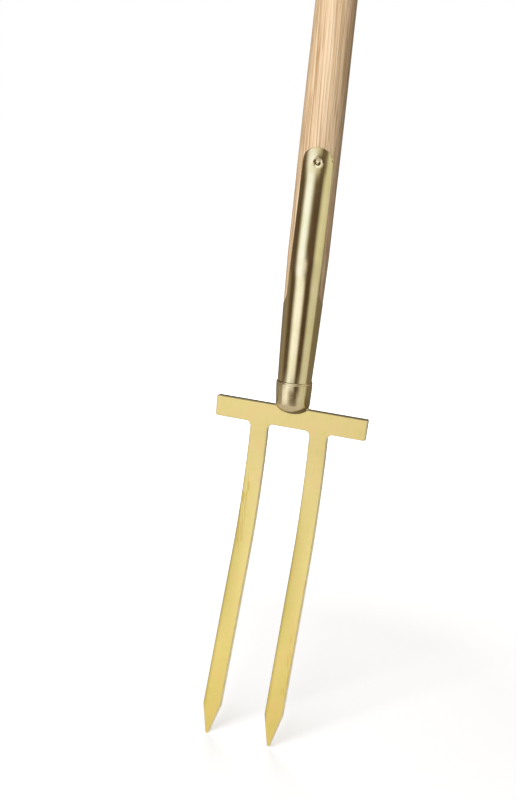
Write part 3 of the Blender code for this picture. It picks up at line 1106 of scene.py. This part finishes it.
@dataclass
class BrazeFillet:
    """A concave fillet of braze in the corner between the collar and a tread."""

    side: int
    collar: Collar
    width: float
    height: float
    tuck: float = 0.5 * MM
    reach: float = 0.47 * PLATE_THICKNESS
    thinning: float = 0.55
    steps: int = 12
    hollow_steps: int = 8

    def build(self, name: str, material: Material, node: str) -> Piece:
        """Builds the fillet, whose hollow section follows the collar round.

        Args:
            name: The piece's name.
            material: The finish.
            node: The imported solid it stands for.

        Returns:
            The piece.
        """
        shape = bmesh.new()
        low = TREAD - self.tuck
        rows = []
        for share in spaced(-1, 1, self.steps):
            y = self.reach * share
            full = math.sqrt(1 - self.thinning * abs(share) ** 3)
            base = math.sqrt(self.collar.tread_radius**2 - y**2)
            section = [(base - self.tuck, low), (base + self.width * full, low)]
            for turn in quarter(self.hollow_steps):
                x = base + self.width * full * (1 - math.sin(turn))
                section.append((x, TREAD + self.height * full * (1 - math.cos(turn))))
            section.append((base - self.tuck, TREAD + self.height * full))
            shift = self.collar.foot_shift
            rows.append([shape.verts.new((shift + self.side * x, y, z)) for x, z in section])
        joined(shape, rows, ring=True, ends=True)
        return placed(finished(name, shape, (material,), smooth=50), Slot.BRAZE, node)


@dataclass
class Socket:
    """Rolled socket: a tapered tube that opens into a strap in front and one behind."""

    foot: float
    shaft_radius: float
    sheet: float = 1.4 * MM
    foot_radius: float = 15.3 * MM
    swell: float = 0.18 * MM
    proud: float = 0.2 * MM
    shoulder: float = TREAD + 91.5 * MM
    notch_rise: float = 11.0 * MM
    notch_curve: float = 1.5
    taper_top: float = TREAD + 135.0 * MM
    top: float = TREAD + 228.3 * MM
    strap_foot: float = 14.4 * MM
    strap_head: float = 13.3 * MM
    askew: float = math.radians(3.0)
    head_askew: float = math.radians(2.5)
    unlevel: float = 1.3 * MM
    unlevel_reach: float = 30.0 * MM
    arch: float = 11.3 * MM
    edge_round: float = 0.4 * MM
    edge_start: float = 2.0 * MM
    edge_insets: Triple = (0.05 * MM, 0.15 * MM, 0.28 * MM)
    dish_rim: float = 5.1 * MM
    dish_depth: float = 1.3 * MM
    pull_depth: float = 0.12 * MM
    pull_reach: float = 6.5 * MM
    unevenness: float = 0.08 * MM
    bend: float = TREAD + 118.0 * MM
    bend_reach: float = 14.0 * MM
    columns: int = 64
    tube_rows: int = 24
    notch_rows: int = 16
    strap_rows: int = 30
    dish_rows: int = 18
    arch_angles: range = range(0, 87, 3)
    arch_ends: Pair = (0.0006, 0.0002)
    halvings: int = 50
    weld: float = 0.001 * MM

    @property
    def notch_top(self) -> float:
        """The height where the straps' sides run straight."""
        return self.shoulder + self.notch_rise

    @property
    def arch_foot(self) -> float:
        """The height where the straps' heads start."""
        return self.top - self.arch

    def outer(self, z: float) -> float:
        """The sheet's outer radius, before it is pressed in anywhere.

        Args:
            z: The height.

        Returns:
            The radius.
        """
        crest = self.shaft_radius + self.proud
        share = min(max((z - self.foot) / (self.taper_top - self.foot), 0.0), 1.0)
        bulge = self.swell * math.sin(math.pi * share)
        return self.foot_radius + (crest - self.foot_radius) * share + bulge

    def half_width(self, z: float) -> float:
        """Half the sheet's width at a height, seen from the front.

        Args:
            z: The height.

        Returns:
            Half the width, or more than the radius where the tube is whole.
        """
        if z < self.notch_top:
            share = (self.notch_top - z) / self.notch_rise
            return self.strap_foot + (self.shaft_radius - self.strap_foot) * share**self.notch_curve
        if z < self.arch_foot:
            share = (z - self.notch_top) / (self.arch_foot - self.notch_top)
            return self.strap_foot + (self.strap_head - self.strap_foot) * share
        rise = min((z - self.arch_foot) / self.arch, 1.0)
        return self.strap_head * math.sqrt(max(1 - rise * rise, 0.0))

    def strap_turn(self, z: float) -> float:
        """How far the straps are turned from the front: most at the rivet, less below and above."""
        below = self.askew * eased((RIVET_Z - z) / (RIVET_Z - self.notch_top))
        return RIVET_TURN - below - self.head_askew * eased((z - RIVET_Z) / (self.top - RIVET_Z))

    def rise(self, angle: float, z: float) -> float:
        """How far the sheet stands up at an angle: the shoulders were not cut quite level."""
        share = (z - self.shoulder) / self.unlevel_reach
        return self.unlevel * math.exp(-share * share) * math.sin(angle)

    @cached_property
    def split(self) -> float:
        """Finds where the tube opens into its two straps.

        Returns:
            The height.
        """
        low, high = self.shoulder - self.notch_rise, self.notch_top
        for _ in range(self.halvings):
            middle = (low + high) / 2
            if self.half_width(middle) > self.outer(middle):
                low = middle
            else:
                high = middle
        return low

    def levels(self) -> list[float]:
        """The heights of the mesh's rows: closest at the notch, the rivet and the arch.

        Returns:
            Heights from the foot up.
        """
        dish_low = RIVET_Z - 2 * self.dish_rim
        notch = self.notch_top - self.split
        rows = spaced(self.foot, self.split, self.tube_rows)[:-1]
        rows += [self.split + notch * share**2 for share in spaced(0, 1, self.notch_rows)]
        rows += spaced(self.notch_top, dish_low, self.strap_rows)[1:]
        rows += spaced(dish_low, self.arch_foot, self.dish_rows)[1:-1]
        rows += [self.arch_foot + self.arch * math.sin(math.radians(a)) for a in self.arch_angles]
        return rows + [self.top - share * self.arch for share in self.arch_ends]

    def sunk(self, across: float, z: float) -> float:
        """How far the sheet is pressed in at a point near the rivet.

        Args:
            across: Distance from the strap's middle line, along the sheet.
            z: The height.

        Returns:
            The depth under the rolled surface.
        """
        away = math.hypot(across, z - RIVET_Z)
        dish = (1 + math.cos(math.pi * min(away / self.dish_rim, 1.0))) / 2
        pull = math.exp(-((away / self.pull_reach) ** 2))
        return self.dish_depth * dish + self.pull_depth * pull

    def uneven(self, turn: float, z: float) -> float:
        """The slight waviness where the straps were bent out of the taper by hand."""
        share = (z - self.bend) / self.bend_reach
        return self.unevenness * math.exp(-share * share) * math.sin(3 * turn + 2 * share)

    def edge_drop(self, across: float, half: float, z: float) -> float:
        """How far the rounded edge falls away from the rolled surface.

        Args:
            across: Distance from the strap's middle line, along the sheet.
            half: Half the sheet's width along the sheet at that height.
            z: The height.

        Returns:
            The drop.
        """
        opening = eased((z - self.split) / self.edge_start)
        inside = half - abs(across)
        if z > self.arch_foot:
            reach = math.hypot(across / self.strap_head, (z - self.arch_foot) / self.arch)
            inside = min(inside, max(1 - reach, 0.0) * self.arch)
        share = 1 - min(inside / self.edge_round, 1.0)
        return opening * self.edge_round * (1 - math.sqrt(max(1 - share * share, 0.0)))

    def sheets(self, first: float, lift: float = 0.0, room: float = 0.0) -> Solid:
        """Builds a front and a back sheet that meet below the shoulders.

        Args:
            first: The lowest row's height.
            lift: How far the outside stands off the socket's own outside. With none, the free
                edges are rounded.
            room: How far the sheets reach past the socket's free edges and its inside.

        Returns:
            The closed mesh.
        """
        shape = bmesh.new()
        levels = [first] + [z for z in self.levels() if z > first]
        whole = [z <= self.split or self.half_width(z) + room >= self.outer(z) for z in levels]
        opens = max(i for i, closed in enumerate(whole) if closed)
        near_edge = [1 - inset / self.strap_head for inset in self.edge_insets]
        near_edge += [-share for share in near_edge]
        spread = sorted(spaced(-1, 1, self.columns) + near_edge)
        for facing in (0.0, math.pi):
            outside, inside = [], []
            for z, closed in zip(levels, whole):
                radius = self.outer(z)
                half = math.pi / 2 if closed else math.asin((self.half_width(z) + room) / radius)
                height = z + room if z > self.arch_foot else z
                outside.append([])
                inside.append([])
                for turn in [share * half for share in spread]:
                    across = turn * radius
                    angle = turn + facing + self.strap_turn(z)
                    pressed = self.sunk(across, z) + self.uneven(turn + facing, z)
                    rounded = 0.0 if lift else self.edge_drop(across, half * radius, z)
                    up = height + self.rise(turn + facing, z)
                    drops = (pressed + rounded - lift, pressed + self.sheet + room)
                    for rows, drop in zip((outside, inside), drops):
                        far = radius - drop
                        point = (far * math.sin(angle), -far * math.cos(angle), up)
                        rows[-1].append(shape.verts.new(point))
            for rows in (outside, inside, [outside[0], inside[0]], [outside[-1], inside[-1]]):
                joined(shape, rows)
            for end in (0, -1):
                joined(shape, [[row[end] for row in rows[opens:]] for rows in (outside, inside)])
        bmesh.ops.remove_doubles(shape, verts=shape.verts, dist=self.weld)
        return shape

    def build(self, material: Material) -> Piece:
        """Builds the socket."""
        socket = finished("rolled_socket", self.sheets(self.foot), (material,), smooth=40)
        return placed(socket, Slot.SHEET, "socket")


@dataclass
class Rivet:
    """Rivet through both straps, with a domed head in each dish."""

    socket: Socket
    head_radius: float = 2.5 * MM
    shank_radius: float = 2.1 * MM
    dome: float = 1.2 * MM
    dome_steps: int = 12
    under: float = 0.2 * MM
    sink: float = 0.05 * MM
    sides: int = 64

    def build(self, material: Material) -> Piece:
        """Builds the rivet.

        Args:
            material: The finish.

        Returns:
            The piece.
        """
        floor = self.socket.outer(RIVET_Z) - self.socket.dish_depth - self.sink
        upper = [(0, floor + self.dome)]
        for turn in quarter(self.dome_steps)[1:]:
            upper.append((self.head_radius * math.sin(turn), floor + self.dome * math.cos(turn)))
        upper.append((self.shank_radius, floor - self.under))
        shape = turned(mirrored(upper), self.sides, Axis.Y)
        bmesh.ops.rotate(shape, verts=shape.verts, matrix=Matrix.Rotation(RIVET_TURN, 3, "Z"))
        bmesh.ops.translate(shape, verts=shape.verts, vec=(0, 0, RIVET_Z))
        return placed(finished("strap_rivet", shape, (material,)), Slot.SHEET, "rivet")


@dataclass
class Grip:
    """Turned T-grip along X, bored for the tenon and drilled for the pin."""

    centre: float = TREAD + 803.0 * MM
    length: float = 128.0 * MM
    radius: float = 17.0 * MM
    end_radius: float = 14.5 * MM
    end_round: float = 9.0 * MM
    end_steps: int = 10
    swell_steps: int = 16
    tenon_radius: float = 11.0 * MM
    shoulder_sink: float = 5.5 * MM
    pin_drop: float = 6.5 * MM
    pin_radius: float = 2.5 * MM
    pin_sides: int = 48
    room: float = 0.05 * MM
    sides: int = 128

    @property
    def seat(self) -> float:
        """The height of the face that the shaft's shoulder meets."""
        return self.centre - self.radius + self.shoulder_sink

    @property
    def pin_centre(self) -> Vector:
        """The middle of the pin."""
        return Vector((0, 0, self.centre - self.pin_drop))

    def bar(self) -> Solid:
        """The plain turned bar.

        Returns:
            The closed mesh.
        """
        half = self.length / 2
        straight = half - self.end_round
        upper = [(0, half)]
        for turn in quarter(self.end_steps)[:-1]:
            radius = self.end_radius - self.end_round * (1 - math.sin(turn))
            upper.append((radius, straight + self.end_round * math.cos(turn)))
        for share in spaced(1, 0, self.swell_steps):
            radius = self.end_radius + (self.radius - self.end_radius) * (1 - share**2)
            upper.append((radius, straight * share))
        return turned(mirrored(upper), self.sides, Axis.X, Vector((0, 0, self.centre)))

    def build(self, material: Material, shaft_radius: float) -> Piece:
        """Builds the grip.

        Args:
            material: The finish.
            shaft_radius: The radius of the shaft that is let into it.

        Returns:
            The piece.
        """
        grip = finished("t_grip", self.bar(), (material,))
        above, below = self.centre + 2 * self.radius, self.centre - 2 * self.radius
        narrow, wide = self.tenon_radius + self.room, shaft_radius + self.room
        bore = [(0, above), (narrow, above), (narrow, self.seat), (wide, self.seat), (wide, below)]
        hole = self.pin_radius + self.room
        drill = [(0, above), (hole, above), (hole, -above), (0, -above)]
        cut(
            grip,
            turned(bore + [(0, below)], self.sides),
            turned(drill, self.pin_sides, Axis.Y, self.pin_centre),
        )
        return placed(grip, Slot.ASH, "grip")


@dataclass
class Shaft:
    """Turned shaft, seated in the socket at its foot and tenoned through the grip at its head."""

    radius: float = 18.15 * MM
    neck: float = 17.7 * MM
    neck_low: float = TREAD + 240.0 * MM
    neck_high: float = TREAD + 345.0 * MM
    foot: float = TREAD + 40.3 * MM
    hidden_drop: float = 4.0 * MM
    recess_lift: float = 2.0 * MM
    recess_room: float = 0.04 * MM
    crown_reach: float = 100.0 * MM
    steps: int = 12
    sides: int = 128

    def build(self, material: Material, socket: Socket, grip: Grip) -> Piece:
        """Builds the shaft.

        Args:
            material: The finish.
            socket: The socket that it stands in.
            grip: The grip that its tenon goes through.

        Returns:
            The piece.
        """
        above = grip.centre + 2 * grip.radius
        shoulder = grip.seat - grip.room
        profile = [(0, above), (grip.tenon_radius, above), (grip.tenon_radius, shoulder)]
        profile.append((self.neck, shoulder))
        for share in spaced(0, 1, self.steps):
            radius = self.neck + (self.radius - self.neck) * eased(share)
            profile.append((radius, self.neck_high + (self.neck_low - self.neck_high) * share))
        hidden = socket.shoulder - self.hidden_drop
        for z in spaced(socket.taper_top, hidden, self.steps):
            profile.append((socket.outer(z) - socket.proud, z))
        for z in (hidden, self.foot):
            profile.append((socket.outer(z) - socket.sheet - grip.room, z))
        profile.append((0, self.foot))
        shaft = finished("ash_shaft", turned(profile, self.sides), (material,))
        wide = self.crown_reach
        waste = block((-wide, -wide, grip.centre), (wide, wide, above + grip.radius))
        crown = finished("crown", waste)
        cut(crown, grip.bar())
        over_grip = bmesh.new()
        over_grip.from_mesh(crown.data)
        bpy.data.objects.remove(crown, do_unlink=True)
        low = hidden - self.hidden_drop
        cut(shaft, socket.sheets(low, self.recess_lift, self.recess_room), over_grip)
        return placed(shaft, Slot.ASH, "shaft")


@dataclass
class GripPin:
    """Pin across the grip and the tenon, its slightly domed ends level with the wood."""

    grip: Grip
    crown: float = 0.5 * MM
    crown_steps: int = 6

    def build(self, material: Material) -> Piece:
        """Builds the pin.

        Args:
            material: The finish.

        Returns:
            The piece.
        """
        grip = self.grip
        end = math.sqrt(grip.radius**2 - grip.pin_drop**2) - self.crown
        upper = [(0, end + self.crown)]
        for turn in quarter(self.crown_steps)[1:]:
            upper.append((grip.pin_radius * math.sin(turn), end + self.crown * math.cos(turn)))
        shape = turned(mirrored(upper), grip.pin_sides, Axis.Y, grip.pin_centre)
        return placed(finished("bronze_pin", shape, (material,)), Slot.PIN, "grip_pin")


@dataclass
class Viewpoint:
    """The camera, where the photograph's outlines put it."""

    azimuth: float = 0.32444
    elevation: float = 0.20174
    roll: float = 0.10416
    shift_x: float = 30.256 * MM
    shift_y: float = -5.6585 * MM
    distance: float = 1.1
    focal_pixels: float = 1227.33
    picture_height: float = 800.0
    film_height: float = 24.0
    nearest: float = 10.0 * MM

    def place(self) -> Piece:
        """Makes the scene's camera.

        Returns:
            The camera.
        """
        side, front = math.sin(self.azimuth), math.cos(self.azimuth)
        flat = math.cos(self.elevation)
        back = Vector((side * flat, -front * flat, math.sin(self.elevation)))
        level = Vector((front, side, 0))
        upright = back.cross(level)
        right = math.cos(self.roll) * level + math.sin(self.roll) * upright
        up = -math.sin(self.roll) * level + math.cos(self.roll) * upright
        turn = Matrix((right, up, back)).transposed()
        eye = Vector((0, 0, TREAD)) - turn @ Vector((self.shift_x, self.shift_y, -self.distance))
        data = bpy.data.cameras.new("camera")
        data.sensor_fit = "VERTICAL"
        data.sensor_height = self.film_height
        data.lens = self.focal_pixels * self.film_height / self.picture_height
        data.clip_start = self.nearest
        camera = bpy.data.objects.new("camera", data)
        camera.matrix_world = Matrix.Translation(eye) @ turn.to_4x4()
        bpy.context.scene.collection.objects.link(camera)
        bpy.context.scene.camera = camera
        return camera


def reflected_only(thing: Piece) -> Piece:
    """Stages a thing that shows in reflections and nowhere else.

    Args:
        thing: The thing.

    Returns:
        The same thing.
    """
    for rays in ("camera", "diffuse", "transmission", "shadow"):
        setattr(thing, "visible_" + rays, False)
    return thing


@dataclass(frozen=True)
class Surround:
    """A round wall of lit and dark panels that stands about the fork and shows only in reflections.

    Each tone is an angle from the camera's own side, to the right in the picture, and the colour
    of the wall there. The wall fades from one tone to the next. The tones of a twisted wall turn
    to the right by that many degrees from its low edge to its high one.
    """

    name: str
    low: float
    high: float
    tones: Tones
    twist: float = 0.0
    strength: float = 2.0
    radius: float = 0.9
    sides: int = 96

    def material(self, camera_azimuth: float) -> Material:
        """Builds the wall's glow.

        Args:
            camera_azimuth: The camera's angle round the fork.

        Returns:
            The material.
        """
        material, tree = blank_material(self.name)
        place = add(tree, "TexCoord")["Object"]
        facing = (0, 0, math.pi / 2 - camera_azimuth)
        rotated = add(tree, "Mapping", {"Vector": place, "Rotation": facing})[0]
        round_angle = add(tree, "TexGradient", (rotated,), gradient_type="RADIAL")["Fac"]
        height = add(tree, "SeparateXYZ", (place,))[2]
        twist = add(tree, "MapRange", (height, self.low, self.high, 0.0, -self.twist / 360))[0]
        angle = add(tree, "Math", (round_angle, twist), operation="ADD")[0]
        stops = [(0.5 + degrees / 360, code) for degrees, code in self.tones]
        colour = add(tree, "ValToRGB", (angle,), stops)[0]
        glow = add(tree, "Emission", {"Color": colour, "Strength": self.strength})[0]
        add(tree, "OutputMaterial", {"Surface": glow})
        return material

    def build(self, camera_azimuth: float) -> Piece:
        """Stands the wall.

        Args:
            camera_azimuth: The camera's angle round the fork.

        Returns:
            The wall.
        """
        shape = bmesh.new()
        angles = spaced(0, math.tau, self.sides)[:-1]
        rim = [(self.radius * math.cos(a), self.radius * math.sin(a)) for a in angles]
        rows = [[shape.verts.new((x, y, z)) for x, y in rim] for z in (self.low, self.high)]
        joined(shape, rows, ring=True)
        return reflected_only(finished(self.name, shape, (self.material(camera_azimuth),)))


@dataclass(frozen=True)
class SoftLamp:
    """A large soft lamp for the wood. It is kept out of reflections, which the surround gives.

    The side is its angle from the camera's own side, to the right in the picture.
    """

    name: str
    side: float
    height: float
    distance: float
    size: float
    power: float

    def hang(self, camera_azimuth: float) -> None:
        """Hangs the lamp, facing the middle of the fork.

        Args:
            camera_azimuth: The camera's angle round the fork.
        """
        angle = camera_azimuth + math.radians(self.side)
        data = bpy.data.lights.new(self.name, "AREA")
        data.size = self.size
        data.energy = self.power
        lamp = bpy.data.objects.new(self.name, data)
        x, y = self.distance * math.sin(angle), -self.distance * math.cos(angle)
        lamp.location = (x, y, self.height)
        lamp.rotation_euler = lamp.location.to_track_quat("Z", "Y").to_euler()
        lamp.visible_glossy = False
        bpy.context.scene.collection.objects.link(lamp)


FOOT_TONES = (
    (-180, "#6b655d"), (-135, "#7d7770"), (-96, "#86817a"), (-84, "#8a857f"), (-74, "#d3d6e0"),
    (-46, "#dcdfea"), (-34, "#a8a5a2"), (-20, "#6a6158"), (-8, "#584e43"), (12, "#564b40"),
    (21, "#8f8c87"), (34, "#aeadaa"), (76, "#a5a29d"), (90, "#5c5243"), (130, "#4a4034"),
    (180, "#6b655d"),
)
TUBE_TONES = (
    (-180, "#5a524a"), (-106, "#746b60"), (-93, "#5d5141"), (-84, "#463a2c"), (-67, "#463a2c"),
    (-58, "#8f8d88"), (-48, "#cbced8"), (-38, "#dadeeb"), (-14, "#d0d4e0"), (-6, "#adaba8"),
    (2, "#594d40"), (8, "#3e3226"), (24, "#43372a"), (38, "#a3a195"), (50, "#adada2"),
    (76, "#a8a69a"), (87, "#665e4f"), (180, "#5a524a"),
)
STRAP_TONES = (
    (-180, "#5a524a"), (-112, "#6b6155"), (-98, "#4c4036"), (-74, "#4c4036"), (-64, "#8f8d88"),
    (-56, "#cdd4e6"), (-46, "#d9e3ff"), (-30, "#d6dff8"), (-20, "#a9aab0"), (-10, "#5d5249"),
    (0, "#4a3d33"), (23, "#4a3d33"), (35, "#a29f92"), (46, "#bab9ab"), (76, "#aeada0"),
    (90, "#655e50"), (180, "#5a524a"),
)
HEAD_TONES = (
    (-180, "#5a524a"), (-106, "#6b6155"), (-92, "#4c4036"), (-78, "#4c4036"), (-68, "#8f8d88"),
    (-58, "#bdbfc6"), (-46, "#c9ccd6"), (-18, "#c2c4c8"), (-4, "#aeaca5"), (8, "#989184"),
    (16, "#5f5548"), (40, "#544a3e"), (49, "#989588"), (60, "#b8b7aa"), (82, "#aaa99c"),
    (94, "#655e50"), (180, "#5a524a"),
)
UPPER_TONES = (
    (-180, "#6a655f"), (-110, "#7a787c"), (-85, "#e6ecfb"), (5, "#ecf1ff"), (30, "#b8ab96"),
    (90, "#9a8a70"), (180, "#6a6356"),
)


@dataclass
class Studio:
    """White floor and world, the surround that the metal reflects, and soft lamps for the wood."""

    camera_azimuth: float
    floor_size: float = 30.0
    floor_glow: float = 0.5
    floor_fade: Pair = (0.4, 1.0)
    floor_paint: str = "#e3e6ea"
    low_card_z: float = FLOOR_Z + 1.0 * MM
    low_card_tone: str = "#e0dad8"
    ceiling_z: float = 1.7
    ceiling_tone: str = "#7a756c"
    card_sides: int = 48
    ambient: float = 0.2
    ambient_tone: str = "#efd9be"
    walls: tuple[Surround, ...] = (
        Surround("foot_wall", FLOOR_Z + 1.0 * MM, -184.0 * MM, FOOT_TONES),
        Surround("tube_wall", -184.0 * MM, 30.0 * MM, TUBE_TONES),
        Surround("strap_wall", 30.0 * MM, 100.0 * MM, STRAP_TONES),
        Surround("neck_wall", 100.0 * MM, 219.0 * MM, STRAP_TONES, twist=7.0),
        Surround("head_wall", 219.0 * MM, 620.0 * MM, HEAD_TONES),
        Surround("upper_wall", 620.0 * MM, 1.7, UPPER_TONES, strength=1.55),
    )
    lamps: tuple[SoftLamp, ...] = (
        SoftLamp("key_lamp", -28.5, 0.9, 1.6, 1.2, 27.7),
        SoftLamp("back_lamp", -170.0, 0.9, 1.8, 0.9, 14.0),
    )

    def shown(self, tree: Tree) -> Link:
        """Tells the rays that show a background from those that only light the fork.

        Args:
            tree: The node tree to add to.

        Returns:
            One for rays from the camera, off metal and through glass, and zero for the others.
        """
        path = add(tree, "LightPath")
        seen = (path["Is Camera Ray"], path["Is Glossy Ray"])
        first = add(tree, "Math", seen, operation="MAXIMUM")[0]
        return add(tree, "Math", (first, path["Is Transmission Ray"]), operation="MAXIMUM")[0]

    def lay_floor(self) -> Piece:
        """Lays a white floor that keeps the fork's shadow.

        Near the fork the floor is part lit and part glowing, so that a shadow shows on it.
        Further off it glows fully white, like the world.

        Returns:
            The floor.
        """
        shape = bmesh.new()
        bmesh.ops.create_grid(shape, x_segments=1, y_segments=1, size=self.floor_size)
        bmesh.ops.translate(shape, verts=shape.verts, vec=(0, 0, FLOOR_Z))
        material, tree = blank_material("white studio floor")
        place = add(tree, "TexCoord")["Object"]
        away = add(tree, "VectorMath", (place,), operation="LENGTH")["Value"]
        level = add(tree, "MapRange", (away, *self.floor_fade, self.floor_glow, 1.0))[0]
        strength = add(tree, "Math", (self.shown(tree), level), operation="MULTIPLY")[0]
        glow = add(tree, "Emission", {"Strength": strength})[0]
        matt = add(tree, "BsdfDiffuse", {"Color": linear(self.floor_paint)})[0]
        add(tree, "OutputMaterial", {"Surface": add(tree, "AddShader", (glow, matt))[0]})
        floor = finished("studio_floor", shape, (material,))
        return floor

    def card(self, name: str, height: float, tone: str) -> Piece:
        """Closes one end of the surround with a plain card.

        Args:
            name: The card's name.
            height: Its height.
            tone: Its sRGB hex colour.

        Returns:
            The card.
        """
        shape = bmesh.new()
        size = {"segments": self.card_sides, "radius": Surround.radius}
        bmesh.ops.create_circle(shape, cap_ends=True, **size)
        bmesh.ops.translate(shape, verts=shape.verts, vec=(0, 0, height))
        material, tree = blank_material(name)
        glow = add(tree, "Emission", {"Color": linear(tone), "Strength": 1.0})[0]
        add(tree, "OutputMaterial", {"Surface": glow})
        return reflected_only(finished(name, shape, (material,)))

    def light_world(self) -> None:
        """Makes the world white to look at, and a soft even light on the fork."""
        world = bpy.data.worlds.new("white world")
        world.use_nodes = True
        tree = world.node_tree
        tree.nodes.clear()
        shown = self.shown(tree)
        level = add(tree, "MapRange", (shown, 0.0, 1.0, self.ambient, 1.0))[0]
        layer = {"Factor": shown, 6: linear(self.ambient_tone), 7: linear("#ffffff")}
        tone = add(tree, "Mix", layer, data_type="RGBA")[2]
        glow = add(tree, "Background", {"Color": tone, "Strength": level})[0]
        add(tree, "OutputWorld", {"Surface": glow})
        bpy.context.scene.world = world

    def build(self) -> None:
        """Builds the whole studio."""
        self.lay_floor()
        self.card("ceiling_card", self.ceiling_z, self.ceiling_tone)
        self.card("floor_card", self.low_card_z, self.low_card_tone)
        for wall in self.walls:
            wall.build(self.camera_azimuth)
        for lamp in self.lamps:
            lamp.hang(self.camera_azimuth)
        self.light_world()


def dress_carried_wedge() -> None:
    """Gives the wedge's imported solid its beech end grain."""
    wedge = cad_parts["grip_wedge"]
    wedge.data.materials.clear()
    wedge.data.materials.append(WEDGE_BEECH.material())
    log.info("grip_wedge: packed solid, %s", Slot.BEECH.value)


def main() -> None:
    """Builds the fork piece by piece, then its studio and camera."""
    logging.basicConfig(level=logging.INFO, format="%(message)s")
    bpy.context.scene.view_settings.view_transform = "Standard"
    buffed = BUFFED_SHEET.material()
    braze = FLOWED_BRAZE.material()
    collar = Collar()
    shaft = Shaft()
    grip = Grip()
    socket = Socket(foot=collar.top + 0.3 * MM, shaft_radius=shaft.radius)
    ForkHead().build(GROUND_PLATE.material(), SAWN_EDGE.material(), SHADED_TREAD.material())
    collar.build(BRUSHED_CASTING.material())
    BrazeFillet(-1, collar, 1.2 * MM, 1.2 * MM).build("braze_fillet_left", braze, "braze_left")
    BrazeFillet(1, collar, 2.6 * MM, 1.8 * MM).build("braze_fillet_right", braze, "braze_right")
    socket.build(buffed)
    Rivet(socket).build(buffed)
    shaft.build(SHAFT_ASH.material(), socket, grip)
    grip.build(GRIP_ASH.material(), shaft.neck)
    GripPin(grip).build(buffed)
    dress_carried_wedge()
    view = Viewpoint()
    view.place()
    Studio(view.azimuth).build()


if __name__ == "__main__":
    main()
